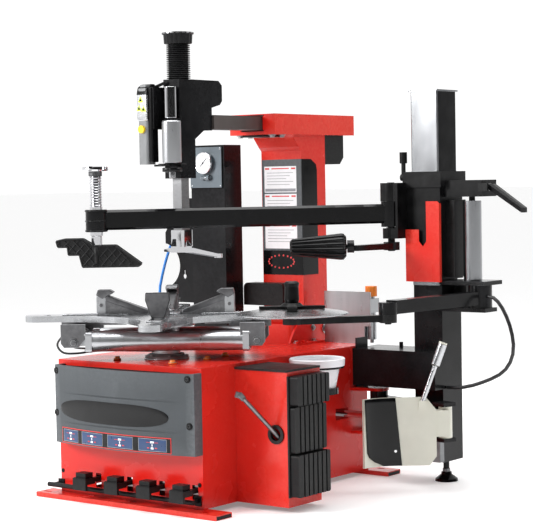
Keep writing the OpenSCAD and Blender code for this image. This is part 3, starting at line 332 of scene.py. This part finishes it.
    def done(self, body, slot, replaces=()):
        """Makes the piece, which rides on a CAD body and stands for the replaced nodes."""
        bmesh.ops.recalc_face_normals(self.bm, faces=self.bm.faces[:])
        mesh = bpy.data.meshes.new(self.name)
        self.bm.to_mesh(mesh)
        self.bm.free()
        for look in self.looks:
            mesh.materials.append(look)
        obj = bpy.data.objects.new(self.name, mesh)
        bpy.context.scene.collection.objects.link(obj)
        soften(obj, 0)
        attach(obj, body)
        if replaces:
            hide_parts(*replaces)
        return obj


def smooth(points, steps=6):
    """Catmull-Rom points through the given ones."""
    out = []
    for i in range(len(points) - 1):
        p0, p1 = points[max(i - 1, 0)], points[i]
        p2, p3 = points[i + 1], points[min(i + 2, len(points) - 1)]
        for s in range(steps):
            t = s / steps
            out.append(0.5 * ((2 * p1) + (p2 - p0) * t + (2 * p0 - 5 * p1 + 4 * p2 - p3) * t * t
                              + (3 * p1 - p0 - 3 * p2 + p3) * t ** 3))
    return out + [points[-1]]


def place(origin, x_axis, y_axis):
    """Matrix with its origin in millimetres and its X and Y along two directions."""
    x, y = Vector(x_axis).normalized(), Vector(y_axis).normalized()
    m = Matrix((x, y, x.cross(y))).transposed().to_4x4()
    m.translation = Vector(origin) * MM
    return m


# ---------------------------------------------------------------- front cover trim

CAB_FRONT = -519.0
COVER_MIDDLE, COVER_HALF, COVER_SIDE, COVER_BOW = 12, 348, 43, 44


def cover_y(x):
    """Front surface of the bowed cover at x."""
    return CAB_FRONT - COVER_SIDE - COVER_BOW * (1 - ((x - COVER_MIDDLE) / COVER_HALF) ** 2)


def bowed_panel(build, outline, proud, look, steps=40):
    """A thin panel over the bowed cover, from an outline function x -> (low, high) heights."""
    x0, x1, span = outline
    cols = []
    for i in range(steps + 1):
        x = x0 + (x1 - x0) * (0.5 - 0.5 * math.cos(math.pi * i / steps))
        lo, hi = span(x)
        y = cover_y(x)
        cols.append([build.bm.verts.new(Vector((x, y + dy, z)) * MM)
                     for dy, z in ((1.0, lo), (-proud, lo), (-proud, hi), (1.0, hi))])
    faces = []
    for a, b in zip(cols, cols[1:]):
        for k in range(4):
            j = (k + 1) % 4
            faces.append(build.bm.faces.new((a[k], b[k], b[j], a[j])))
    faces += [build.bm.faces.new(cols[0]), build.bm.faces.new(cols[-1][::-1])]
    build.mark(faces, look)


def oval(x0, x1, z0, z1):
    """Outline of a rounded badge for bowed_panel."""
    c, h, w = (x0 + x1) / 2, (z1 - z0) / 2, (x1 - x0) / 2

    def span(x):
        t = min(1, abs((x - c) / w))
        half = max(0.4, h * (1 - t ** 3.4) ** (1 / 2.2))
        return (z0 + z1) / 2 - half, (z0 + z1) / 2 + half
    return x0, x1, span


def band(x0, x1, z0, z1):
    """Outline of a plain strip for bowed_panel."""
    return x0, x1, lambda x: (z0, z1)


ICON_Z = 249
# Offset from the picture's middle, half width, height and colour of each mark in a picture.
MARKS = ((0, 10, 8, 7, LABEL), (0, -12, 6, 7, LABEL), (-18, 9, 8, 2, LABEL_RED),
         (18, 9, 8, 2, LABEL_RED), (0, -1, 2, 9, LABEL), (-17, -11, 5, 4, LABEL_RED),
         (17, -11, 5, 4, LABEL_RED))
trim = Build("cover_badges", GLOSS, LABEL_RED, LABEL_BLUE, PRINT, LABEL)
bowed_panel(trim, oval(-299, 256, 309, 391), 1.6, GLOSS)
bowed_panel(trim, band(-292, 266, 220, 278), 1.0, LABEL_RED)
bowed_panel(trim, band(-289, 263, 223, 275), 1.6, GLOSS)
for left, right in ((-281, -190), (-168, -52), (-26, 98), (124, 248)):
    bowed_panel(trim, band(left, right, 226, 272), 2.0, PRINT, 10)
    bowed_panel(trim, band(left + 2, right - 2, 228, 270), 2.4, LABEL_BLUE, 10)
    mid = (left + right) / 2
    for dx, dz, w, h, look in MARKS:
        low = ICON_Z + dz - h / 2
        bowed_panel(trim, band(mid + dx - w, mid + dx + w, low, low + h), 2.8, look, 4)
trim.done("base", "grey_cover")

# A black plate down in the recess behind the front cover's top edge: painted shade, the dark of the recess.
RECESS_HALF, RECESS_STEPS = 332, 12
recess_shade = Build("cover_recess_shade", RECESS_SHADE)
inner = [(COVER_MIDDLE + x, cover_y(COVER_MIDDLE + x) + 8)
         for x in [RECESS_HALF * t / RECESS_STEPS for t in range(-RECESS_STEPS, RECESS_STEPS + 1)]]
recess_shade.prism(inner + [(344, CAB_FRONT - 0.5), (-320, CAB_FRONT - 0.5)], 4,
           Matrix.Translation((0, 0, 0.5022)), RECESS_SHADE)
recess_shade.done("base", "grey_cover")

screws = Build("cover_screws", PLASTIC, DARK)
for x, z in ((334, 493), (339, 324), (-324, 490), (-326, 330)):
    y = cover_y(x)
    screws.rod((x, y + 4, z), (x, y - 2.5, z), 13, PLASTIC, round_by=1.2)
    screws.rod((x, y - 2, z), (x, y - 4, z), 6, DARK, round_by=0.8)
for x, z in ((-348, 98), (342, 106)):
    screws.rod((x, CAB_FRONT + 2, z), (x, CAB_FRONT - 2, z), 8, PLASTIC, round_by=0.8)
for y in (-585, 495):
    screws.box((469.6, y + 5, 1.5), (470.4, y + 85, 14), PLASTIC)
screws.done("base", "black_plastic")

# ---------------------------------------------------------------- column labels and bolts

plate = Build("column_plate", SLATE, LABEL, LABEL_RED, PRINT, GLOSS)
plate.prism([(-101, 808), (105.6, 808), (105.6, 1284), (-101, 1284)], 1.6,
            place((0, 438, 0), (1, 0, 0), (0, 0, 1)), SLATE)
plate.box((-101, 435.9, 808), (105.6, 437, 908), GLOSS)
plate.prism([(436.4, 808), (542, 808), (542, 1240), (536, 1262), (500, 1284), (436.4, 1284)], 1.6,
            place((104, 0, 0), (0, 1, 0), (0, 0, 1)), GLOSS)


def panel(lo_x, hi_x, lo_z, hi_z, look, proud):
    """Thin raised panel on the column plate's face."""
    plate.box((lo_x, 438 - proud, lo_z), (hi_x, 437, hi_z), look)


for lo, hi in ((1148, 1256), (1040, 1142), (916, 1020)):
    panel(-88, 78, lo, hi, LABEL, 2.4)
    panel(-84, -62, hi - 13, hi - 6, LABEL_RED, 2.8)
    panel(-50, 40, hi - 12, hi - 7, LABEL_RED, 2.8)
    panel(52, 74, hi - 13, hi - 6, LABEL_RED, 2.8)
    for k in range(5):
        panel(-74, 62 - 18 * (k % 3), hi - 28 - 12 * k, hi - 26 - 12 * k, PRINT, 2.8)
panel(-84, 74, 1152, 1164, PRINT, 2.8)
for r in range(0, 360, 20):
    a = math.radians(r)
    plate.rod((-6 + 66 * math.cos(a), 437.5, 862 + 26 * math.sin(a)),
              (-6 + 66 * math.cos(a), 435.2, 862 + 26 * math.sin(a)), 4, LABEL_RED)
plate.done("column", "grey_cover")

bolts = Build("column_bolts", TURNED, CHROME, DARK)
for s in (-1, 1):
    bolts.bolt((s * 117, 566, 580), (s, 0, 0), 15, TURNED, CHROME)
    bolts.bolt((s * 117, 480, 590), (s, 0, 0), 9, TURNED, CHROME)
    bolts.bolt((s * 128, 470, 536), (0, 0, 1), 9, TURNED, CHROME)
    bolts.bolt((s * 128, 350, 536), (0, 0, 1), 9, TURNED, CHROME)
bolts.done("base", "machined_steel")

guides = Build("head_bolts", TURNED, CHROME, PLASTIC)
for x in (-82, 82):
    for y in (276, 340, 700):
        guides.bolt((x, y, 1383), (0, 0, -1), 11, TURNED, CHROME)
guides.box((-60, 262, 1374), (60, 372, 1383), PLASTIC, round_by=2)
guides.done("column", "machined_steel")

nose = Build("head_guide_frame", RED, BLACK)
for lo, hi in (((-60, 247, 1396), (60, 250, 1400)), ((-60, 247, 1458), (60, 250, 1462))):
    nose.box(lo, hi, BLACK, round_by=0.8)
nose.done("column", "red_paint")

# ---------------------------------------------------------------- gauge, handle and shaft trim

DIAL_X, DIAL_Z, FACE_Y = -270, 1275, 254.9
gauge = Build("tyre_gauge", BLUEGREY, CHROME, LABEL, GLOSS)
gauge.box((-356, 275.6, 1173), (-187, 278, 1341), BLUEGREY, round_by=1)
dial = place((DIAL_X, 258, DIAL_Z), (1, 0, 0), (0, 0, 1))
gauge.lathe([(44, -18), (45.5, 0), (44, 4), (40, 4.6), (39, 2.4), (0.1, 2.4)], dial, CHROME)
gauge.lathe([(38.8, 1.4), (38.8, 2.8), (0.1, 2.8)], dial, LABEL)
for k in range(11):
    a = math.radians(225 - 27 * k)
    inner_end, outer_end = [(DIAL_X + r * math.cos(a), FACE_Y, DIAL_Z + r * math.sin(a)) for r in (30, 35)]
    gauge.rod(inner_end, outer_end, 0.9, GLOSS, segs=6)
gauge.rod((-284, 254.2, 1261), (-250, 254.2, 1295), 1.3, GLOSS, segs=6)
gauge.rod((DIAL_X, 255.6, DIAL_Z), (DIAL_X, 253.2, DIAL_Z), 4, GLOSS)
gauge.rod((-290, 268, 1214), (-262, 268, 1214), 9, CHROME, round_by=2)
gauge.rod((-262, 268, 1214), (-240, 268, 1214), 12, GLOSS, round_by=3)
for x in (-349, -194):
    for z in (1181, 1333):
        gauge.rod((x, 277, z), (x, 274.6, z), 3, CHROME)
gauge.done("base", "black_steel")

handle = Build("handle_trim", BLACK, STEEL, LABEL_LIME, GLOSS, GREY)
handle.prism([(-316, 1530), (-262, 1530), (-262, 1574), (-286, 1574), (-308, 1562)], 56,
             place((-115, 0, 0), (0, 1, 0), (0, 0, 1)), BLACK, round_by=6)
handle.box((-113.5, -314, 1432), (-60.5, -276, 1541), STEEL, round_by=6)
for dx, dz in ((-92, 1514), (-100, 1482), (-78, 1478)):
    mark = place((dx, -313.6, dz), (1, 0, 0), (0, 0, 1))
    handle.prism([(-13, -10), (13, -10), (0, 13)], 1.4, mark, LABEL_LIME)
    handle.prism([(-7, -6), (7, -6), (0, 7)], 2.0, mark, GLOSS)
handle.box((-63, -306, 1275), (-44, -268, 1560), BLACK, round_by=5)
handle.rod((-52, -286, 1262), (30, -286, 1262), 4, BLACK, round_by=1)
handle.rod((-60, -270, 1560), (-20, -250, 1578), 6, BLACK, round_by=1)
handle.done("arm", "grey_plastic")

lock = Build("lock_trim", CHROME, ALLOY, GLOSS, TURNED)
lock.lathe([(36, 1270), (38.5, 1274), (38.5, 1424), (36, 1431), (0.1, 1431)],
           place((30, -278, 0), (1, 0, 0), (0, 1, 0)), ALLOY, ribs=4, depth=2.5)
lock.rod((16, -266, 1441), (16, -266, 1560), 24, CHROME, round_by=2)
lock.lathe([(30, 1236), (38, 1238), (38, 1252), (30, 1254), (0.1, 1254)],
           place((30, -278, 0), (1, 0, 0), (0, 1, 0)), GLOSS, segs=72, ribs=18, depth=2)
lock.rod((30, -278, 1214), (30, -278, 1240), 12, TURNED, round_by=1)
lock.rod((-20, -300, 1266), (80, -256, 1266), 3, GLOSS)
lock.done("arm", "silver_alloy", replaces=("lock_cylinder",))

cap = Build("shaft_cap", PLASTIC)
cap.lathe([(44, 1724), (54, 1727), (56, 1760), (62, 1763), (62.5, 1767), (50, 1770.6), (0.1, 1771)],
          place((0, -196, 0), (1, 0, 0), (0, 1, 0)), PLASTIC, segs=96, ribs=18, depth=2.2)
cap.done("shaft", "black_plastic")

bellows = Build("shaft_bellows", PLASTIC, STEEL)
z = 1591.0
profile = []
while z < 1722:
    profile += [(38, z), (38.5, z + 2.2), (46, z + 3.0), (46, z + 5.4), (38.5, z + 6.2)]
    z += 7.25
bellows.lathe(profile, place((0, -196, 0), (1, 0, 0), (0, 1, 0)), PLASTIC, segs=48)
piece = bellows.done("arm", "black_steel", replaces=("shaft_spring",))
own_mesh(piece)

# ---------------------------------------------------------------- turntable details

TURN = math.radians(35)
CENTRE = Matrix.Translation((0, -0.297, 0)) @ Matrix.Rotation(TURN, 4, "Z")


def moved(frame_matrix, x, y, z):
    """A point of a local frame, in millimetres of the shared frame."""
    return tuple((frame_matrix @ (Vector((x, y, z)) * MM)) / MM)


def on_table(x, y, z):
    """A point of the turntable's own frame."""
    return moved(CENTRE, x, y, z)


table = Build("table_ribs", STEEL, TURNED, DARK)
for q in range(4):
    at = CENTRE @ Matrix.Rotation(math.radians(90 * q), 4, "Z")
    for s in (-1, 1):
        table.box((140, s * 24 - 4, 697), (384, s * 24 + 4, 702), STEEL, at, round_by=2)
    table.box((384, -28, 697), (394, 28, 702), STEEL, at, round_by=2)
    table.rod(moved(at, 455, 0, 696), moved(at, 455, 0, 700), 12, TURNED, round_by=1)
table.rod((0, -297, 690), (0, -297, 705), 66, STEEL, round_by=3, segs=64)
table.rod((0, -297, 700), (0, -297, 716), 34, TURNED, round_by=3, segs=48)
table.bolt((0, -297, 716), (0, 0, 1), 20, TURNED, STEEL)
table.done("table", "satin_steel")

for name, body, q in (("left_jaw_trim", "left_jaw", 180), ("right_jaw_trim", "right_jaw", 0),
                      ("front_jaw_trim", "front_jaw", -90), ("back_jaw_trim", "back_jaw", 90)):
    at = CENTRE @ Matrix.Rotation(math.radians(q), 4, "Z")
    jaw = Build(name, DARK, ALLOY, TURNED, RUBBER)
    face = at @ place((0, 22, 0), (1, 0, 0), (0, 0, 1))
    jaw.prism([(62, 700), (90, 700), (228, 750), (236, 774), (214, 770), (66, 716)], 44, face, DARK,
              round_by=4)
    jaw.prism([(196, 784), (212, 794), (258, 794), (264, 772), (240, 758), (222, 768)], 48,
              at @ place((0, 24, 0), (1, 0, 0), (0, 0, 1)), DARK, round_by=4)
    jaw.box((226, -22, 700), (263, 22, 772), ALLOY, at, round_by=3)
    if q == -90:
        jaw.prism([(-24, 702), (24, 702), (46, 768), (44, 796), (-44, 796), (-46, 768)], 8,
                  at @ place((260, 0, 0), (0, 1, 0), (0, 0, 1)), RUBBER, round_by=3)
    for s in (-1, 1):
        jaw.bolt(moved(at, 245, s * 22.5, 735), at.to_3x3() @ Vector((0, s, 0)), 8, TURNED)
    if q in (0, 180):
        for s in (-1, 1):
            jaw.prism([(290, 616), (318, 584), (372, 584), (384, 600), (384, 672), (290, 672)], 4,
                      at @ place((0, s * 128 + 2, 0), (1, 0, 0), (0, 0, 1)), ALLOY, round_by=1)
            jaw.bolt(moved(at, 335 if q else 353, s * 131, 603), at.to_3x3() @ Vector((0, s, 0)), 12,
                     TURNED, ALLOY)
    jaw.done(body, "dark_steel")

HOSE_LOOP = ((-278, 100, 643), (-300, 104, 652), (-360, 118, 640), (-398, 120, 600), (-380, 112, 566),
             (-330, 96, 560), (-240, 60, 566), (-60, 30, 560), (-54, 6, 556))
tubes = Build("clamp_tube_trim", ALLOY, TURNED, HOSE, DARK)
for s in (-1, 1):
    for x in (-291, 299):
        for dy in (-29, 29):
            for dz in (-29, 29):
                p = on_table(x if x < 0 else x + 26, s * 100 + dy, 603 + dz)
                tubes.bolt(p, CENTRE.to_3x3() @ Vector((-1 if x < 0 else 1, 0, 0)), 5, TURNED)
    tubes.tube([on_table(x, s * y, z) for x, y, z in HOSE_LOOP], 4, HOSE)
tubes.done("left_jaw", "silver_alloy")

flange = Build("spindle_flange", TURNED, STEEL, CHROME)
flange.rod((0, -297, 528), (0, -297, 533), 86, STEEL, round_by=1.5, segs=64)
for k in range(6):
    a = math.radians(60 * k + 20)
    flange.bolt((72 * math.cos(a), -297 + 72 * math.sin(a), 540), (0, 0, 1), 6, TURNED)
flange.done("base", "machined_steel")

caps = Build("bolt_caps", ORANGE)
for x, y in ((-124, -440), (159, -446), (173, -263), (155, -136)):
    caps.lathe([(15, 528), (15, 533), (10, 535), (10, 541), (7, 543), (0.1, 543)],
               place((x, y, 0), (1, 0, 0), (0, 1, 0)), ORANGE, segs=24)
caps.done("base", "orange_plastic")

# ---------------------------------------------------------------- tools on the arms

TIP_X, TIP_Y = -151.819, -508.879
TIP_AT = Matrix.Translation((TIP_X * MM, TIP_Y * MM, 0))
SLANT = math.radians(38.2)
BLOCK = [(-149, 984), (-143, 962), (-107, 962), (-104, 932), (-63, 932), (-52, 886),
         (158, 886), (166, 894), (72, 964), (-9, 964), (-52, 990), (-120, 990)]


def inside(x, z):
    """Whether a point lies within the outline of the press block."""
    hit = False
    for (x1, z1), (x2, z2) in zip(BLOCK, BLOCK[1:] + BLOCK[:1]):
        if (z1 > z) != (z2 > z) and x < (x2 - x1) * (z - z1) / (z2 - z1) + x1:
            hit = not hit
    return hit


def on_press(x, y, z):
    """A point of the press block's own frame."""
    return moved(TIP_AT @ Matrix.Rotation(SLANT, 4, "Z"), x, y, z)


lattice = Build("press_block_ribs", COAL)
for side in (-31, 31):
    for (x1, z1), (x2, z2) in zip(BLOCK, BLOCK[1:] + BLOCK[:1]):
        lattice.rod(on_press(x1, side, z1), on_press(x2, side, z2), 3.4, COAL, segs=8)
    for lean in (-1, 1):
        for start in range(-330, 380, 34):
            line = [(start + lean * 0.9 * k, 880 + k) for k in range(0, 116, 3)]
            line = [p for p in line if inside(*p)]
            runs = [[]]
            for p, q in zip(line, line[1:]):
                runs[-1].append(p)
                if q[1] - p[1] > 4:
                    runs.append([])
            for run in [r for r in runs if len(r) > 2]:
                (x1, z1), (x2, z2) = run[0], run[-1]
                lattice.rod(on_press(x1, side, z1), on_press(x2, side, z2), 2.6, COAL, segs=8)
lattice.rod(on_press(0, -31, 898), on_press(0, -31, 960), 8, COAL, segs=16)
lattice.done("press_block", "black_plastic")

collars = Build("press_arm_collars", BLACK, CHROME, TURNED)
for low, high in ((1017, 1024), (1054, 1060), (1091, 1099)):
    collars.lathe([(38, low), (41, low), (43, low + 2), (43, high - 2), (41, high), (38, high)],
                  TIP_AT, BLACK, caps=False)
collars.bolt((548, 430, 1107), (0, 0, 1), 12, TURNED, CHROME)
collars.rod((548, 430, 1006), (548, 430, 998), 20, CHROME, round_by=2)
collars.done("press_arm", "black_steel")

knob = Build("spindle_knob", DARK, GLOSS, CHROME)
for k in range(4):
    at = TIP_AT @ Matrix.Rotation(math.radians(90 * k + 20), 4, "Z")
    knob.box((18, -9, 1245), (49, 9, 1262), GLOSS if k % 2 else CHROME, at, round_by=4)
knob.rod((TIP_X, TIP_Y, 1225), (TIP_X, TIP_Y, 1262.5), 25.5, GLOSS, round_by=2)
for k in range(11):
    low = 1117.5 + 10 * k
    knob.rod((TIP_X, TIP_Y, low), (TIP_X, TIP_Y, low + 3), 23.6, CHROME, segs=40)
knob.done("press_spindle", "chrome")

roller_at = place((431, 100, 940), (0, 0, 1), (math.sin(SLANT), -math.cos(SLANT), 0))
roller = Build("ribbed_roller", GLOSS, CHROME)
roller.lathe([(9.2, -108), (20, -108), (27, -104), (33, -96), (38, -40), (44, 20), (51, 88), (50, 98),
              (44, 103), (40, 108), (9.2, 108)], roller_at, GLOSS, segs=112, ribs=14, depth=6)
roller.done("cone", "black_plastic", replaces=("cone_roller",))

SHOVEL = (Matrix.Translation((0.45, 0.47, 0)) @ Matrix.Rotation(math.radians(-16.6), 4, "Z")
          @ Matrix.Translation((0.4, 0, 0)) @ Matrix.Rotation(math.radians(54.8), 4, "Z"))
# Along the shovel, its face is flat to BEND_X and then an arc about (BEND_X, ARC_Y).
BEND_X, FACE_OF_BLADE, ARC_Y, ARC_R = -200, -54, -210, 156


def on_shovel(x, y, z):
    """A point of the shovel's own frame."""
    return moved(SHOVEL, x, y, z)


def guard_point(length, right_edge, off):
    """Place along the shovel's face, a length from the guard's right edge, standing off from it."""
    flat = right_edge - BEND_X
    if length < flat:
        return right_edge - length, FACE_OF_BLADE - off
    a = (length - flat) / ARC_R
    r = ARC_R - 0.4 - off
    return BEND_X - r * math.sin(a), ARC_Y + r * math.cos(a)


blade = Build("shovel_guard", GLOSS, CHROME)
STEPS, RISE = 22, 14
rows = []
for r in range(RISE + 1):
    v = r / RISE
    right_edge = -172 - 22 * v
    corner = 26 * max(0, 1 - v / 0.22) ** 2
    sweep = math.radians(42 + 5 * v - corner)
    whole = ARC_R * sweep + right_edge - BEND_X
    rows.append([[blade.bm.verts.new(Vector(on_shovel(*guard_point(whole * k / STEPS, right_edge, off),
                                                      109 + 258 * v)) * MM)
                  for off in (0.3, 4.0)] for k in range(STEPS + 1)])
quads = [(low[k][d], low[k + 1][d], high[k + 1][d], high[k][d])
         for low, high in zip(rows, rows[1:]) for k in range(STEPS) for d in (0, 1)]
quads += [(row[k][0], row[k + 1][0], row[k + 1][1], row[k][1])
          for row in (rows[0], rows[-1]) for k in range(STEPS)]
quads += [(low[k][0], high[k][0], high[k][1], low[k][1])
          for k in (0, STEPS) for low, high in zip(rows, rows[1:])]
blade.mark([blade.bm.faces.new(quad) for quad in quads], GLOSS)
blade.rod(on_shovel(-196, -57, 165), on_shovel(-196, -60, 165), 5, CHROME)
blade.done("shovel", "black_plastic")

grip = Build("shovel_handle", STEEL, PLASTIC)
lean = Vector((math.sin(math.radians(20)), 0, math.cos(math.radians(20))))
foot = Vector((-92, -58, 350))
for start, end, radius, look, edge in ((0, 150, 9.2, STEEL, 1), (146, 236, 16.4, PLASTIC, 4)):
    grip.rod(on_shovel(*(foot + lean * start)), on_shovel(*(foot + lean * end)), radius, look,
             round_by=edge)
grip.done("shovel", "black_steel")

stay = Build("post_foot_trim", IRON, CHROME, DARK)
stay.box((700, 449, 86), (749, 480, 172), IRON, round_by=3)
stay.rod((738, 474, 203), (750, 449, 210), 26, CHROME, round_by=4)
stay.rod((714, 548, 36), (714, 548, 84), 9, CHROME, segs=24)
stay.bolt((714, 548, 36), (0, 0, 1), 17, DARK)
stay.done("base", "black_steel")

# A thin gloss-black sheet over the silver tower's right face: painted shade, for the dark that side shows
# under the studio light.
side = Build("tower_painted_shade", GLOSS)
side.box((736.4, 486, 778), (737.4, 610, 1533), GLOSS)
side.done("base", "black_steel")

# ---------------------------------------------------------------- hoses

AIR_HOSE = [(-362, 320, 1010), (-390, 320, 1012), (-430, 320, 1005), (-470, 320, 985),
            (-502, 320, 950), (-524, 319, 905), (-542, 316, 855), (-556, 312, 805),
            (-566, 307, 755), (-568, 303, 705), (-560, 300, 655), (-538, 300, 610),
            (-504, 300, 570), (-460, 300, 542), (-410, 300, 526), (-362, 300, 520)]
TOWER_HOSE = [(944, 500, 738), (965, 500, 735), (985, 500, 720), (1004, 500, 696),
              (1022, 500, 664), (1036, 500, 630), (1046, 500, 594), (1051, 500, 558),
              (1048, 500, 522), (1036, 500, 490), (1016, 500, 462), (988, 500, 440),
              (952, 500, 422), (912, 500, 406), (870, 500, 392), (826, 500, 382),
              (790, 500, 378), (752, 500, 377)]


def hose(name, points, radius, look, node):
    """A round hose along the points, between its two fittings, in place of the CAD hose node, which it
    hides.
    """
    curve = bpy.data.curves.new(name, "CURVE")
    curve.dimensions = "3D"
    curve.bevel_depth = radius * MM
    curve.bevel_resolution = 6
    curve.use_fill_caps = True
    spline = curve.splines.new("POLY")
    spline.points.add(len(points) - 1)
    for vertex, point in zip(spline.points, points):
        vertex.co = (*(c * MM for c in point), 1)
    curve.materials.append(look)
    obj = bpy.data.objects.new(name, curve)
    bpy.context.scene.collection.objects.link(obj)
    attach(obj, "base")
    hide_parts(node)


hose("air_hose_tube", AIR_HOSE, 6, BLUE, "air_hose")
hose("tower_hose_tube", TOWER_HOSE, 7, HOSE, "tower_hose")

# ---------------------------------------------------------------- floor, light, camera

floor_mat = material("pale_floor", (0.88, 0.88, 0.88), 0.8, vary=0.01, scale=2, spec=0.1)
floor_glow = floor_mat.node_tree.nodes["Principled BSDF"].inputs
floor_glow["Emission Color"].default_value = (1, 1, 1, 1)
floor_glow["Emission Strength"].default_value = 0.22
bpy.ops.mesh.primitive_plane_add(size=400, location=(0, 0, -0.001))
floor = bpy.context.object
floor.name = "floor"
floor.data.materials.append(floor_mat)

world = bpy.data.worlds.new("studio")
bpy.context.scene.world = world
world.use_nodes = True
tree = world.node_tree
ray = tree.nodes.new("ShaderNodeTexCoord")
slope = tree.nodes.new("ShaderNodeVectorMath")
slope.operation = "DOT_PRODUCT"
slope.inputs[1].default_value = (-0.66, 0.36, 0.62)
tree.links.new(ray.outputs["Generated"], slope.inputs[0])
shade = tree.nodes.new("ShaderNodeMapRange")
shade.interpolation_type = "SMOOTHSTEP"
shade.inputs["From Min"].default_value, shade.inputs["From Max"].default_value = -0.45, 0.62
shade.inputs["To Min"].default_value, shade.inputs["To Max"].default_value = 0.02, 1.08
tree.links.new(slope.outputs["Value"], shade.inputs["Value"])
tree.nodes["Background"].inputs["Color"].default_value = (1, 1, 1, 1)
tree.links.new(shade.outputs["Result"], tree.nodes["Background"].inputs["Strength"])
bpy.context.scene.view_settings.view_transform = "Standard"


def area_light(name, location, target, size, power):
    """Soft rectangular light at a place, turned to a target; sizes in metres and power in watts."""
    data = bpy.data.lights.new(name, "AREA")
    data.shape = "RECTANGLE"
    data.size, data.size_y = size
    data.energy = power
    obj = bpy.data.objects.new(name, data)
    obj.location = location
    obj.rotation_mode = "QUATERNION"
    obj.rotation_quaternion = (Vector(target) - Vector(location)).to_track_quat("-Z", "Y")
    bpy.context.scene.collection.objects.link(obj)


area_light("key", (-2.2, -4.4, 2.9), (0, 0, 0.6), (1.6, 1.6), 230)
area_light("rim", (3.6, 1.6, 3.6), (0.4, 0, 0.8), (0.8, 2.2), 50)
area_light("top", (0.3, -0.2, 4.8), (0.2, 0, 0.5), (3.2, 3.2), 170)

YAW, PITCH, ROLL = math.radians(38.186), math.radians(2.7495), math.radians(1.0254)
ahead = Vector((-math.sin(YAW) * math.cos(PITCH), math.cos(YAW) * math.cos(PITCH), -math.sin(PITCH)))
level = Vector((math.cos(YAW), math.sin(YAW), 0))
upright = level.cross(ahead)
right = level * math.cos(ROLL) - upright * math.sin(ROLL)
up = level * math.sin(ROLL) + upright * math.cos(ROLL)
camera = bpy.data.objects.new("camera", bpy.data.cameras.new("camera"))
camera.data.lens = 115.45
camera.data.sensor_width = 36
camera.matrix_world = Matrix((right, up, -ahead)).transposed().to_4x4()
camera.location = (4.3188, -5.1636, 1.1907)
bpy.context.scene.collection.objects.link(camera)
bpy.context.scene.camera = camera
